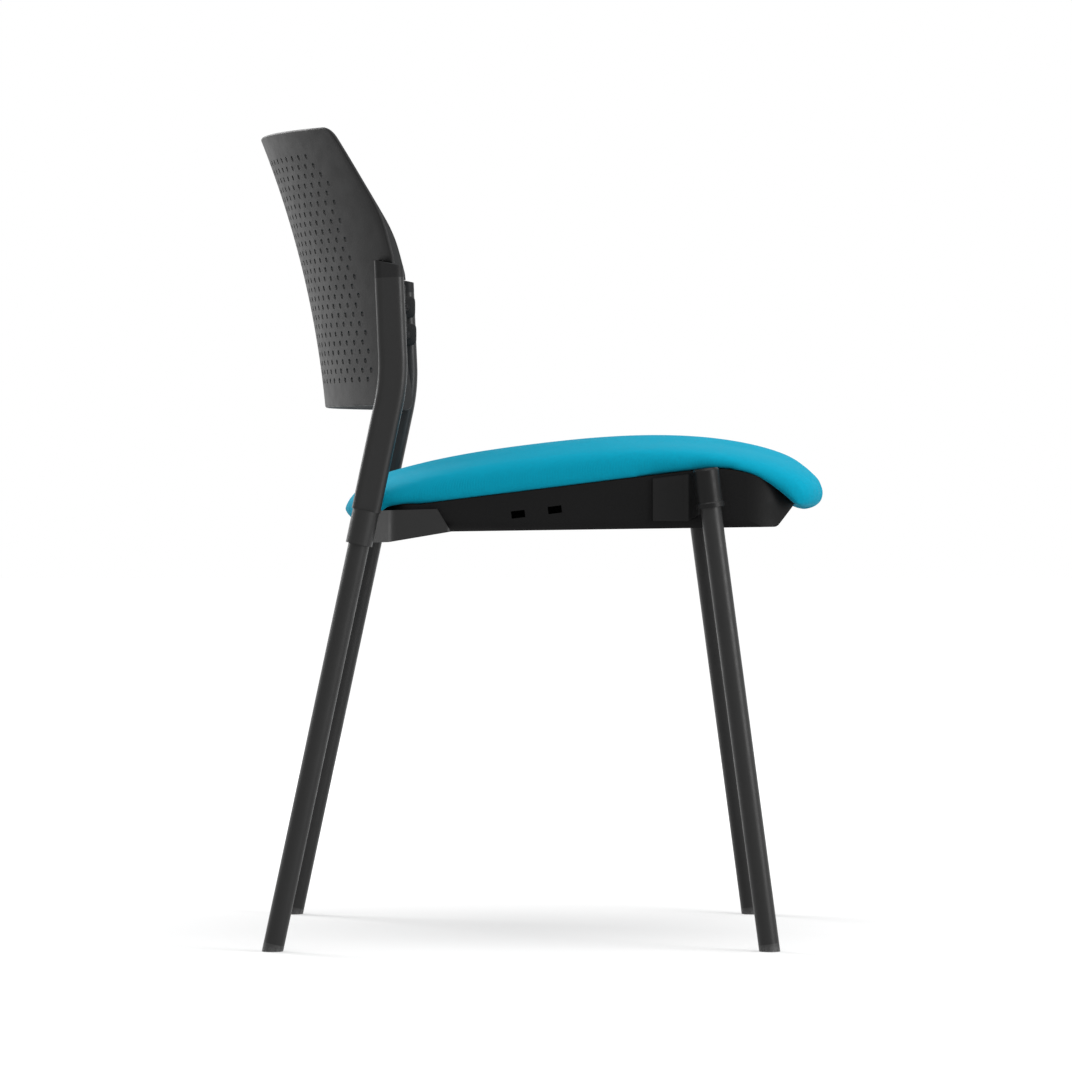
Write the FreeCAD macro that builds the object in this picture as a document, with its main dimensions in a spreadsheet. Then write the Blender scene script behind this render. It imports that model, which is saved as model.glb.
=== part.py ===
"""Four-leg stacking chair: upholstered seat in a moulded pan, curved back on two bent uprights.

Frame: +Z up, the chair faces -Y, the sitter's left is +X. The origin is on the floor, under the middle of
the chair's box. Millimetres and degrees.
"""
import FreeCAD, Part
import Sketcher
import math
import os
import re
from FreeCAD import Placement, Rotation, Vector

# Driving dimensions. A "rise" is a height above seat_level, which is the height of the seat pan's underside.
SIZES = {
    # legs
    "leg_track": 490.0,
    "leg_diameter": 20.0,
    "leg_wall": 2.0,
    "leg_clearance": 0.1,
    "seat_level": 400.0,
    "rear_leg_y": 165.0,
    "rear_lean": 12.0,
    "front_leg_y": -168.5,
    "front_lean": 7.6,
    "glide_height": 7.0,
    "glide_stem": 20.0,
    "glide_clearance": 0.1,
    # rear bracket: collar round the leg, spigot into the upright, arm along the pan
    "collar_drop": 14.0,
    "collar_rise": 18.0,
    "collar_wall": 2.6,
    "collar_roof": 6.0,
    "spigot_length": 45.0,
    "spigot_clearance": 0.15,
    "arm_length": 84.0,
    "arm_thickness": 9.0,
    "arm_top_rise": 19.5,
    "arm_front_rise": -2.0,
    "arm_seam_slant": 13.0,
    # front bracket: leg socket and flange
    "socket_low_rise": 21.0,
    "socket_top_rise": 58.0,
    "socket_wall": 2.4,
    "socket_lip": 1.2,
    "socket_lip_height": 4.0,
    "socket_roof": 5.0,
    "flange_length": 52.0,
    "flange_thickness": 4.0,
    "flange_low_rise": 8.0,
    # back uprights and caps
    "upright_depth": 27.5,
    "upright_width": 18.0,
    "upright_corner": 7.0,
    "upright_wall": 2.0,
    "upright_bend_rise": 142.0,
    "upright_bend_radius": 180.0,
    "upright_top_rise": 239.0,
    "upright_top_lean": 2.5,
    "cap_height": 17.0,
    "cap_fall": 7.0,
    "cap_stem": 18.0,
    "cap_clearance": 0.1,
    # back panel
    "back_bottom_rise": 118.0,
    "back_top_rise": 383.0,
    "back_anchor_rise": 200.0,
    "back_lean": 10.3,
    "back_plan_radius": 390.0,
    "back_profile_radius": 950.0,
    "back_thickness": 4.0,
    "back_side_gap": 0.3,
    "back_shoulder_gap": 1.5,
    "back_knee_rise": 300.0,
    "back_knee_radius": 110.0,
    "back_top_inset": 26.0,
    "back_top_corner": 14.0,
    "back_low_corner": 10.0,
    "lug_depth": 20.0,
    "lug_height": 22.0,
    "lug_thickness": 5.0,
    "lug_low_rise": 196.0,
    "lug_spacing": 28.0,
    "lug_shift": 4.5,
    # seat pan
    "seat_side_gap": 3.0,
    "rim_inset": 6.0,
    "pan_wall": 3.0,
    "pan_front_y": -249.0,
    "pan_front_run": 19.0,
    "pan_rear_y": 148.0,
    "pan_rear_drop": 3.0,
    "pan_front_rise": 2.5,
    "pan_edge_radius": 13.0,
    "pan_front_corner": 48.0,
    "pan_rear_corner": 30.0,
    "rim_rear_rise": 24.0,
    "rim_knee_y": 110.0,
    "rim_peak_y": -208.8,
    "rim_peak_rise": 63.5,
    "rim_peak_radius": 112.0,
    "rim_front_slope": 43.0,
    "slot_length": 13.0,
    "slot_height": 7.0,
    "slot_rise": 14.5,
    "slot_rear_y": 17.0,
    "slot_spacing": 35.0,
    # seat pad
    "pad_front_y": -271.4,
    "pad_rear_y": 190.0,
    "pad_rear_nose": 18.0,
    "pad_shoulder_y": 90.0,
    "pad_shoulder_rise": 66.0,
    "pad_crown_y": -115.0,
    "pad_crown_rise": 88.5,
    "pad_brow_y": -230.0,
    "pad_brow_rise": 72.0,
    "pad_nose_rise": 32.0,
    "pad_lip_rise": 19.0,
    "pad_lip_depth": 11.0,
    "pad_side_drop": 22.0,
    "pad_corner_depth": 52.0,
    "cover_thickness": 1.5,
    "cover_lip": 32.0,
    "board_thickness": 9.0,
    "board_inset": 16.0,
    "board_front_y": -222.0,
    "board_rear_y": 132.0,
    "board_corner": 40.0,
    # fasteners
    "bolt_diameter": 6.0,
    "bolt_head": 11.0,
    "bolt_head_height": 3.5,
    "bolt_reach": 3.0,
    "boss_wall": 3.5,
    "screw_clearance": 0.25,
    "screw_x": 150.0,
    "screw_rear_y": 50.0,
    "screw_front_y": -130.0,
    "screw_seat": 9.0,
    "insert_wall": 1.5,
    "pin_diameter": 5.0,
    "pin_head": 9.0,
    "pin_head_height": 2.5,
}

# Values worked out from the driving dimensions.
DERIVED = {
    "leg_x": "leg_track / 2",
    "leg_radius": "leg_diameter / 2",
    "bore_radius": "leg_radius + leg_clearance",
    "rear_slope": "tan(rear_lean)",
    "front_slope": "tan(front_lean)",
    "rear_foot_y": "rear_leg_y + seat_level * rear_slope",
    "front_foot_y": "front_leg_y - seat_level * front_slope",
    # collar, along the leaning axis of the rear leg
    "collar_low_z": "seat_level - collar_drop",
    "collar_low_y": "rear_leg_y + collar_drop * rear_slope",
    "collar_height": "(collar_drop + collar_rise) / cos(rear_lean)",
    "collar_radius": "bore_radius + collar_wall",
    "collar_top_z": "seat_level + collar_rise",
    "collar_top_y": "rear_leg_y - collar_rise * rear_slope",
    "rear_leg_length": "(seat_level + collar_rise) / cos(rear_lean) - collar_roof",
    # socket, along the leaning axis of the front leg
    "socket_low_z": "seat_level + socket_low_rise",
    "socket_low_y": "front_leg_y + socket_low_rise * front_slope",
    "socket_height": "(socket_top_rise - socket_low_rise) / cos(front_lean)",
    "socket_radius": "bore_radius + socket_wall",
    "socket_mid_y": "front_leg_y + (socket_low_rise + socket_top_rise) / 2 * front_slope",
    "front_leg_length": "(seat_level + socket_top_rise) / cos(front_lean) - socket_roof",
    # upright centre line
    "bend_z": "seat_level + upright_bend_rise",
    "bend_y": "rear_leg_y - upright_bend_rise * rear_slope",
    "upright_top_z": "seat_level + upright_top_rise",
    "top_slope": "tan(upright_top_lean)",
    "upright_top_y": "bend_y + (upright_top_z - bend_z) * top_slope",
    "upright_anchor_y": "bend_y + (back_anchor_rise - upright_bend_rise) * top_slope",
    # back panel
    "back_half": "leg_x - upright_width / 2 - back_side_gap",
    "ear_half": "leg_x + upright_width / 2",
    "shoulder_z": "upright_top_z + cap_height + back_shoulder_gap",
    "back_top_z": "seat_level + back_top_rise",
    "back_low_z": "seat_level + back_bottom_rise",
    "back_mid_radius": "back_plan_radius - back_thickness / 2",
    "back_sag": "back_mid_radius - sqrt(back_mid_radius ^ 2 - back_half ^ 2)",
    "back_rear_y": "upright_anchor_y + back_sag + back_thickness / 2",
    "back_axis_y": "back_rear_y + back_profile_radius * cos(back_lean)",
    "back_axis_z": "seat_level + back_anchor_rise - back_profile_radius * sin(back_lean)",
    "lug_inner_x": "back_half - lug_thickness",
    # seat
    "pad_half": "leg_x - socket_radius - socket_lip - seat_side_gap",
    "pan_half": "pad_half - rim_inset",
    "pan_rear_z": "seat_level - pan_rear_drop",
    "pan_front_z": "seat_level + pan_front_rise",
    "rim_front_tan": "tan(rim_front_slope)",
    "bolt_radius": "bolt_diameter / 2",
    "boss_radius": "bolt_head / 2 + screw_clearance + boss_wall",
}

SIDES = (("left", 1), ("right", -1))
FAR = 1000.0

document = FreeCAD.newDocument("StackingChair")
sheet = document.addObject("Spreadsheet::Sheet", "Sizes")
WORD = re.compile(r"[A-Za-z_][A-Za-z_0-9]*")


def fill_sheet():
    """One row per driving dimension: its name in column A, its value in column B under the same alias."""
    for row, (name, value) in enumerate(SIZES.items(), start=1):
        sheet.set(f"A{row}", name)
        sheet.set(f"B{row}", str(value))
        sheet.setAlias(f"B{row}", name)
    document.recompute()


def bind(text):
    """The expression with derived names written out and driving names pointed at the sheet."""
    def spell(match):
        word = match.group(0)
        if word in DERIVED:
            return "(" + bind(DERIVED[word]) + ")"
        return f"Sizes.{word}" if word in SIZES else word
    return WORD.sub(spell, str(text))


def size(text):
    """The number that an expression stands for."""
    return float(sheet.evalExpression(bind(text)))


def new_body(label):
    body = document.addObject("PartDesign::Body", label)
    body.Label = label
    return body


def new_sketch(body, name, role, across="0", along="0", out="0", turn=None, axis=Vector(0, 0, 1)):
    """A sketch on an origin plane, moved by three expressions in its own axes and turned about one."""
    sketch = body.newObject("Sketcher::SketchObject", f"{body.Name}_{name}")
    plane = next(item for item in body.Origin.OriginFeatures if item.Role == role)
    sketch.AttachmentSupport = [(plane, "")]
    sketch.MapMode = "FlatFace"
    angle = size(turn) if turn else 0.0
    sketch.AttachmentOffset = Placement(Vector(size(across), size(along), size(out)), Rotation(axis, angle))
    for key, text in (("x", across), ("y", along), ("z", out)):
        sketch.setExpression(f"AttachmentOffset.Base.{key}", bind(text))
    if turn:
        sketch.setExpression("AttachmentOffset.Rotation.Angle", bind(turn))
    return sketch


def fix(sketch, kind, places, text):
    """A dimension whose value is bound to an expression."""
    index = sketch.addConstraint(Sketcher.Constraint(kind, *places, size(text)))
    sketch.setExpression(f"Constraints[{index}]", bind(text))


def pin_point(sketch, geometry, end, across, along):
    fix(sketch, "DistanceX", (-1, 1, geometry, end), across)
    fix(sketch, "DistanceY", (-1, 1, geometry, end), along)


def rounded_corner(before, here, after, radius):
    """Where an arc touches the runs into and out of a corner, the arc, and which of its ends comes first."""
    back = (before - here).normalize()
    ahead = (after - here).normalize()
    half = back.getAngle(ahead) / 2
    reach = radius / math.tan(half)
    middle = here + (back + ahead).normalize() * (radius / math.sin(half))
    first = here + back * reach
    last = here + ahead * reach
    leftward = (first - middle).cross(last - middle).z > 0
    ends = (first, last) if leftward else (last, first)
    angles = [math.atan2(end.y - middle.y, end.x - middle.x) for end in ends]
    arc = Part.ArcOfCircle(Part.Circle(middle, Vector(0, 0, 1), radius), *angles)
    return first, last, arc, 1 if leftward else 2


def draw(sketch, corners, closed=True):
    """Straight runs through corners (x, y) or rounded corners (x, y, radius), all given as expressions."""
    points = [Vector(size(corner[0]), size(corner[1]), 0) for corner in corners]
    count = len(points)
    turns = []
    for place, corner in enumerate(corners):
        here = points[place]
        if len(corner) == 2:
            turns.append((here, here, None, None))
        else:
            turns.append(rounded_corner(points[place - 1], here, points[(place + 1) % count], size(corner[2])))
    runs = count if closed else count - 1
    lines = []
    arcs = {}
    for place in range(runs):
        if turns[place][2] is not None:
            arcs[place] = sketch.addGeometry(turns[place][2], False)
        run = Part.LineSegment(turns[place][1], turns[(place + 1) % count][0])
        lines.append(sketch.addGeometry(run, False))
    for place, corner in enumerate(corners):
        into = lines[place - 1] if closed or place > 0 else None
        out_of = lines[place] if place < runs else None
        if place in arcs:
            join_round(sketch, into, arcs[place], turns[place][3], out_of, points[place], corner)
        elif into is not None and out_of is not None:
            sketch.addConstraint(Sketcher.Constraint("Coincident", into, 2, out_of, 1))
            pin_point(sketch, into, 2, *corner)
        elif into is not None:
            pin_point(sketch, into, 2, *corner)
        else:
            pin_point(sketch, out_of, 1, *corner)


def join_round(sketch, into, arc, first, out_of, point, corner):
    """Two runs that aim at one corner point, joined by an arc that touches both."""
    mark = sketch.addGeometry(Part.Point(point), True)
    pin_point(sketch, mark, 1, corner[0], corner[1])
    sketch.addConstraint(Sketcher.Constraint("PointOnObject", mark, 1, into))
    sketch.addConstraint(Sketcher.Constraint("PointOnObject", mark, 1, out_of))
    sketch.addConstraint(Sketcher.Constraint("Tangent", into, 2, arc, first))
    sketch.addConstraint(Sketcher.Constraint("Tangent", arc, 3 - first, out_of, 1))
    fix(sketch, "Radius", (arc,), corner[2])


def draw_circle(sketch, across, along, radius):
    circle = Part.Circle(Vector(size(across), size(along), 0), Vector(0, 0, 1), size(radius))
    index = sketch.addGeometry(circle, False)
    pin_point(sketch, index, 3, across, along)
    fix(sketch, "Radius", (index,), radius)


def draw_rounded_box(sketch, half_across, half_along, radius):
    """A rounded rectangle about the sketch's own origin."""
    draw(sketch, [
        (f"-({half_across})", f"-({half_along})", radius),
        (half_across, f"-({half_along})", radius),
        (half_across, half_along, radius),
        (f"-({half_across})", half_along, radius),
    ])


def draw_frame(sketch):
    """A wide square round everything, so that a cut keeps only what lies inside the next outline."""
    draw(sketch, [(-FAR, -FAR), (FAR, -FAR), (FAR, FAR), (-FAR, FAR)])


def pad(body, sketch, length, midplane=False, reverse=False):
    feature = body.newObject("PartDesign::Pad", f"{sketch.Name}_Pad")
    feature.Profile = sketch
    feature.Length = size(length)
    feature.setExpression("Length", bind(length))
    feature.SideType = "Symmetric" if midplane else "One side"
    feature.Reversed = reverse
    document.recompute()
    return feature


def pocket(body, sketch, length=None, reverse=False):
    """A cut to a depth, or right through both ways where no depth is given."""
    feature = body.newObject("PartDesign::Pocket", f"{sketch.Name}_Pocket")
    feature.Profile = sketch
    feature.Reversed = reverse
    if length is None:
        feature.Type = "Length"
        feature.SideType = "Symmetric"
        feature.Length = 4 * FAR
    else:
        feature.Length = size(length)
        feature.setExpression("Length", bind(length))
    before = body.Shape.Volume
    document.recompute()
    if not body.Shape.Volume < before - 1e-3:
        raise RuntimeError(f"{feature.Name} cuts nothing")
    return feature


def revolve(body, sketch, kind="PartDesign::Revolution", axis="V_Axis"):
    feature = body.newObject(kind, f"{sketch.Name}_Turn")
    feature.Profile = sketch
    feature.ReferenceAxis = (sketch, [axis])
    feature.Angle = 360.0
    document.recompute()
    return feature


def pipe(body, section, path, edges, kind="PartDesign::AdditivePipe"):
    feature = body.newObject(kind, f"{section.Name}_Pipe")
    feature.Profile = section
    feature.Spine = (path, [f"Edge{number}" for number in range(1, edges + 1)])
    document.recompute()
    return feature


def stand_aside(body, sign):
    """Moves a piece drawn in the middle plane out to its leg."""
    body.setExpression("Placement.Base.x", bind(f"{sign} * leg_x"))


def solid_feature(label, shape):
    feature = document.addObject("Part::Feature", label)
    feature.Label = label
    feature.Shape = shape
    feature.Placement = Placement()
    return feature


def group(label, bodies):
    """Like pieces as one named group of separate solids."""
    feature = document.addObject("Part::Compound", label)
    feature.Label = label
    feature.Links = bodies
    document.recompute()
    return feature


def boolean(kind, label, base, *tools):
    """A Part boolean of document objects: Part::Cut takes one tool, Part::MultiFuse takes several."""
    feature = document.addObject(kind, label)
    feature.Label = label
    if kind == "Part::Cut":
        feature.Base = base
        feature.Tool = tools[0]
    else:
        feature.Shapes = [base, *tools]
    document.recompute()
    return feature


def leg(label, sign, foot_y, lean, length, screw_at=None):
    """A straight round tube up its leaning axis from the glide's head, with a screw hole where given."""
    body = new_body(label)
    rise = "glide_height"
    start_y = f"{foot_y} - glide_height * tan({lean})"
    section = new_sketch(body, "section", "XY_Plane", "0", start_y, rise, lean, Vector(1, 0, 0))
    draw_circle(section, "0", "0", "leg_radius")
    draw_circle(section, "0", "0", "leg_radius - leg_wall")
    pad(body, section, f"{length} - glide_height / cos({lean})")
    if screw_at:
        hole = new_sketch(body, "screw_hole", "YZ_Plane")
        draw_circle(hole, *screw_at, "pin_diameter / 2")
        pocket(body, hole, "leg_diameter", reverse=sign < 0)
    stand_aside(body, sign)
    return body


def glide(label, sign, foot_y, lean):
    """A turned plug: a head as wide as the tube, cut flat on the floor, and a stem up the bore."""
    body = new_body(label)
    profile = new_sketch(body, "profile", "YZ_Plane", foot_y, "0", "0", lean)
    stem = "leg_radius - leg_wall - glide_clearance"
    head = f"glide_height / cos({lean})"
    draw(profile, [
        ("0", "-leg_radius"),
        ("leg_radius", "-leg_radius"),
        ("leg_radius", head),
        (stem, head),
        (stem, f"{head} + glide_stem"),
        ("0", f"{head} + glide_stem"),
    ])
    revolve(body, profile)
    floor = new_sketch(body, "floor", "XY_Plane")
    draw_frame(floor)
    pocket(body, floor, "leg_diameter * 2")
    stand_aside(body, sign)
    return body


def upright(label, sign):
    """A flat-oval tube that rises from the collar in line with the rear leg and bends back to the cap."""
    body = new_body(label)
    path = new_sketch(body, "path", "YZ_Plane")
    draw(path, [
        ("collar_top_y", "collar_top_z"),
        ("bend_y", "bend_z", "upright_bend_radius"),
        ("upright_top_y", "upright_top_z"),
    ], closed=False)
    section = new_sketch(body, "section", "XY_Plane", "0", "collar_top_y", "collar_top_z",
                         "rear_lean", Vector(1, 0, 0))
    draw_rounded_box(section, "upright_width / 2", "upright_depth / 2", "upright_corner")
    document.recompute()
    pipe(body, section, path, 3)
    bore = new_sketch(body, "bore", "XY_Plane", "0", "collar_top_y", "collar_top_z",
                      "rear_lean", Vector(1, 0, 0))
    wide = "(upright_width / 2 - upright_wall)"
    deep = "(upright_depth / 2 - upright_wall)"
    less_wide = f"({wide} - upright_corner * 0.4)"
    less_deep = f"({deep} - upright_corner * 0.4)"
    draw(bore, [
        (f"-{wide}", f"-{less_deep}"),
        (f"-{less_wide}", f"-{deep}"),
        (less_wide, f"-{deep}"),
        (wide, f"-{less_deep}"),
        (wide, less_deep),
        (less_wide, deep),
        (f"-{less_wide}", deep),
        (f"-{wide}", less_deep),
    ])
    document.recompute()
    pipe(body, bore, path, 3, "PartDesign::SubtractivePipe")
    holes = new_sketch(body, "screw_holes", "YZ_Plane")
    for place in range(2):
        draw_circle(holes, *lug_centre(place), "pin_diameter / 2")
    pocket(body, holes, "upright_width", reverse=sign < 0)
    stand_aside(body, sign)
    return body


def lug_centre(place):
    """Where a back screw crosses the upright, a little in front of its centre line, as two expressions."""
    rise = f"(lug_low_rise + {place} * lug_spacing)"
    return f"bend_y + ({rise} - upright_bend_rise) * top_slope - lug_shift", f"seat_level + {rise}"


def cap(label, sign):
    """A moulded end cap: a head that continues the upright and falls towards the front, and a plug below."""
    body = new_body(label)
    place = ("XY_Plane", "0", "upright_top_y", "upright_top_z", "-upright_top_lean", Vector(1, 0, 0))
    head = new_sketch(body, "head", *place)
    draw_rounded_box(head, "upright_width / 2", "upright_depth / 2", "upright_corner")
    pad(body, head, "cap_height")
    plug = new_sketch(body, "plug", *place)
    inner = "(upright_wall + cap_clearance)"
    draw_rounded_box(plug, f"upright_width / 2 - {inner}", f"upright_depth / 2 - {inner}",
                     f"upright_corner - {inner}")
    pad(body, plug, "cap_stem", reverse=True)
    slope = new_sketch(body, "slope", "YZ_Plane", "upright_top_y", "upright_top_z", "0", "-upright_top_lean")
    draw(slope, [
        ("-upright_depth", "cap_height - cap_fall * 1.5"),
        ("-upright_depth", "cap_height * 3"),
        ("upright_depth", "cap_height * 3"),
        ("upright_depth", "cap_height + cap_fall * 0.5"),
    ])
    pocket(body, slope)
    stand_aside(body, sign)
    return body


def rear_bracket(label, sign):
    """An arm on the pan's side that swings out to a collar on the leg, with a spigot for the upright."""
    body = new_body(label)
    plan = new_sketch(body, "plan", "XY_Plane", "0", "0", "seat_level - collar_drop * 3")
    inner = f"{sign} * pan_half"
    outer = f"{sign} * (pan_half + arm_thickness)"
    tip_y = "rear_leg_y - arm_length"
    draw(plan, [
        (inner, "rear_leg_y + collar_radius * 0.7"),
        (f"{sign} * leg_x", "rear_leg_y + collar_radius * 0.7"),
        (f"{sign} * leg_x", "rear_leg_y - collar_radius * 0.8"),
        (outer, "rear_leg_y - collar_radius * 2.2", "collar_radius"),
        (outer, tip_y, "arm_thickness / 2"),
        (inner, tip_y),
    ])
    pad(body, plan, "collar_drop * 6 + collar_rise")
    outline = new_sketch(body, "side", "YZ_Plane")
    draw_frame(outline)
    draw(outline, [
        ("collar_low_y + collar_radius * 0.6", "collar_low_z + collar_radius * 0.1"),
        ("rear_leg_y - collar_radius * 2", "collar_low_z + collar_drop * 0.15", "leg_diameter"),
        (tip_y, "seat_level + arm_front_rise"),
        (f"{tip_y} + arm_seam_slant", "seat_level + arm_top_rise"),
        ("collar_top_y + collar_radius * 0.6", "seat_level + arm_top_rise - collar_radius * 0.15"),
    ])
    pocket(body, outline)
    collar = new_sketch(body, "collar", "YZ_Plane", "collar_low_y", "collar_low_z", "0", "rear_lean")
    draw(collar, [
        ("0", "0"),
        ("collar_radius", "0"),
        ("collar_radius", "collar_height"),
        ("0", "collar_height"),
    ])
    revolve(body, collar)
    stand_section(body, collar, sign)
    bore = new_sketch(body, "bore", "YZ_Plane", "collar_low_y", "collar_low_z", "0", "rear_lean")
    draw(bore, [
        ("0", "-leg_diameter"),
        ("bore_radius", "-leg_diameter"),
        ("bore_radius", "collar_height - collar_roof"),
        ("0", "collar_height - collar_roof"),
    ])
    stand_section(body, bore, sign)
    revolve(body, bore, "PartDesign::Groove")
    foot = ("XY_Plane", f"{sign} * leg_x", "collar_top_y", "collar_top_z", "rear_lean", Vector(1, 0, 0))
    room = new_sketch(body, "upright_room", *foot)
    draw_rounded_box(room, "upright_width / 2 + spigot_clearance", "upright_depth / 2 + spigot_clearance",
                     "upright_corner")
    pocket(body, room, "spigot_length", reverse=True)
    spigot = new_sketch(body, "spigot", *foot)
    inset = "(upright_wall + spigot_clearance)"
    draw_rounded_box(spigot, f"upright_width / 2 - {inset}", f"upright_depth / 2 - {inset}",
                     f"upright_corner - {inset}")
    pad(body, spigot, "spigot_length")
    bolt_holes(body, sign, REAR_BOLTS)
    pin_hole(body, sign, "rear_leg_y", "seat_level", "collar_radius")
    return body


def stand_section(body, sketch, sign):
    """Moves a turned profile out to its leg; the plane's own third axis is +X."""
    sketch.setExpression("AttachmentOffset.Base.z", bind(f"{sign} * leg_x"))
    document.recompute()


REAR_BOLTS = (("rear_leg_y - arm_length * 0.45", "seat_level + arm_top_rise / 2"),
              ("rear_leg_y - arm_length * 0.75", "seat_level + arm_top_rise / 2"))
FRONT_BOLTS = (("socket_mid_y + flange_length * 0.4", "seat_level + socket_low_rise"),
               ("socket_mid_y + flange_length * 0.7", "seat_level + socket_low_rise"))


def bolt_holes(body, sign, centres):
    """Blind holes from the pan's side, as deep as the bolts reach."""
    holes = new_sketch(body, "bolt_holes", "YZ_Plane", "0", "0", f"{sign} * pan_half")
    for centre in centres:
        draw_circle(holes, *centre, "bolt_radius")
    pocket(body, holes, "bolt_reach", reverse=sign > 0)


def pin_hole(body, sign, centre_y, centre_z, radius):
    """A cross hole from the inner side into the leg's bore for its locking screw, with a head recess."""
    hole = new_sketch(body, "pin_hole", "YZ_Plane", "0", "0", f"{sign} * (leg_x - bore_radius / 2)")
    draw_circle(hole, centre_y, centre_z, "pin_diameter / 2")
    pocket(body, hole, f"{radius} * 2", reverse=sign < 0)
    recess = new_sketch(body, "pin_recess", "YZ_Plane", "0", "0", f"{sign} * (leg_x - {radius})")
    draw_circle(recess, centre_y, centre_z, "pin_head / 2 + screw_clearance")
    pocket(body, recess, f"{radius} * 2", reverse=sign < 0)


def front_bracket(label, sign):
    """A flange on the pan's side with a web out to a tapering, lipped socket on the front leg."""
    body = new_body(label)
    plan = new_sketch(body, "plan", "XY_Plane", "0", "0", "seat_level")
    inner = f"{sign} * pan_half"
    face = f"{sign} * (pan_half + flange_thickness)"
    web = "socket_radius * 0.75"
    draw(plan, [
        (inner, f"socket_mid_y - {web}"),
        (f"{sign} * leg_x", f"socket_mid_y - {web}"),
        (f"{sign} * leg_x", f"socket_mid_y + {web}"),
        (face, f"socket_mid_y + {web} * 2", "socket_radius * 0.5"),
        (face, "socket_mid_y + flange_length"),
        (inner, "socket_mid_y + flange_length"),
    ])
    pad(body, plan, "socket_top_rise")
    outline = new_sketch(body, "side", "YZ_Plane")
    draw_frame(outline)
    top = "socket_top_rise - socket_roof"
    draw(outline, [
        (f"socket_mid_y - {web}", "seat_level + socket_low_rise + socket_lip_height", "socket_radius * 0.3"),
        (f"socket_mid_y + {web} * 2", "seat_level + flange_low_rise", "leg_diameter * 0.4"),
        ("socket_mid_y + flange_length", "seat_level + flange_low_rise"),
        ("socket_mid_y + flange_length", f"{rim_height('(socket_mid_y + flange_length)')} - seat_side_gap"),
        (f"socket_mid_y + {web}", f"{rim_height(f'(socket_mid_y + {web})')} - seat_side_gap"),
        (f"socket_mid_y - {web}", f"seat_level + {top}"),
    ])
    pocket(body, outline)
    socket = new_sketch(body, "socket", "YZ_Plane", "socket_low_y", "socket_low_z", "0", "-front_lean")
    draw(socket, [
        ("0", "0"),
        ("socket_radius + socket_lip", "0"),
        ("socket_radius + socket_lip", "socket_lip_height"),
        ("socket_radius", "socket_lip_height + socket_lip"),
        ("socket_radius", "socket_height - socket_roof * 0.4"),
        ("socket_radius - socket_wall / 2", "socket_height"),
        ("0", "socket_height"),
    ])
    stand_section(body, socket, sign)
    revolve(body, socket)
    bore = new_sketch(body, "bore", "YZ_Plane", "socket_low_y", "socket_low_z", "0", "-front_lean")
    draw(bore, [
        ("0", "-leg_diameter * 2"),
        ("bore_radius", "-leg_diameter * 2"),
        ("bore_radius", "socket_height - socket_roof"),
        ("0", "socket_height - socket_roof"),
    ])
    stand_section(body, bore, sign)
    revolve(body, bore, "PartDesign::Groove")
    bolt_holes(body, sign, FRONT_BOLTS)
    return body


def rim_height(y):
    """Height of the pan's rim on its long straight run, as an expression of y."""
    slope = "(rim_peak_rise - rim_rear_rise) / (rim_knee_y - rim_peak_y)"
    return f"(seat_level + rim_rear_rise + {slope} * (rim_knee_y - {y}))"


def rim_line(lift, front_y, rear_y):
    """The rim in side view, raised by lift: level at the rear, a long rise, then a round fall in front."""
    return [
        (rear_y, f"seat_level + rim_rear_rise + {lift}"),
        ("rim_knee_y", f"seat_level + rim_rear_rise + {lift}"),
        ("rim_peak_y", f"seat_level + rim_peak_rise + {lift}", "rim_peak_radius"),
        (front_y, f"seat_level + rim_peak_rise + {lift} - (rim_peak_y - ({front_y})) * rim_front_tan"),
    ]


def pan_block(label, inset):
    """The pan's outer form, or its hollow, as the solid that fits three outlines: side, plan and front."""
    body = new_body(label)
    hollow = inset != "0"
    lift = "pan_edge_radius" if hollow else "0"
    side = new_sketch(body, "side", "YZ_Plane")
    front_y = f"(pan_front_y + {inset})"
    rear_y = f"(pan_rear_y - {inset})"
    draw(side, rim_line(lift, front_y, rear_y) + [
        (f"{front_y} + pan_front_run", f"pan_front_z + {inset}", "pan_edge_radius / 2"),
        (rear_y, f"pan_rear_z + {inset}"),
    ])
    pad(body, side, "leg_track", midplane=True)
    plan = new_sketch(body, "plan", "XY_Plane")
    draw_frame(plan)
    half = f"(pan_half - {inset})"
    draw(plan, [
        (f"-{half}", front_y, "pan_front_corner"),
        (half, front_y, "pan_front_corner"),
        (half, rear_y, "pan_rear_corner"),
        (f"-{half}", rear_y, "pan_rear_corner"),
    ])
    pocket(body, plan)
    front = new_sketch(body, "front", "XZ_Plane")
    draw_frame(front)
    low = f"pan_rear_z + {inset}"
    draw(front, [
        (f"-{half}", low, "pan_edge_radius"),
        (half, low, "pan_edge_radius"),
        (half, "seat_level + rim_peak_rise * 2"),
        (f"-{half}", "seat_level + rim_peak_rise * 2"),
    ])
    pocket(body, front)
    return body


def seat_screw_places():
    """The four screw centres in plan."""
    for sign in (1, -1):
        for along in ("screw_rear_y", "screw_front_y"):
            yield sign * size("screw_x"), size(along)


def rim_number(y):
    """Height of the rim's straight run at a number y."""
    return size(rim_height(f"({y})"))


def upright_cylinder(x, y, low, high, radius):
    return Part.makeCylinder(radius, high - low, Vector(x, y, low))


def below_rim(lift):
    """Everything under the rim line raised by lift, as a solid between the pan's front and rear."""
    body = new_body(f"BelowRim{lift}".replace(".", "_").replace("cover_thickness", "Cover").replace(" ", ""))
    side = new_sketch(body, "side", "YZ_Plane")
    front_y = f"(pan_front_y - {lift})"
    rear_y = f"(pan_rear_y + {lift})"
    draw(side, rim_line(lift, front_y, rear_y) + [(front_y, "0"), (rear_y, "0")])
    pad(body, side, "leg_track * 2", midplane=True)
    return body


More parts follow.
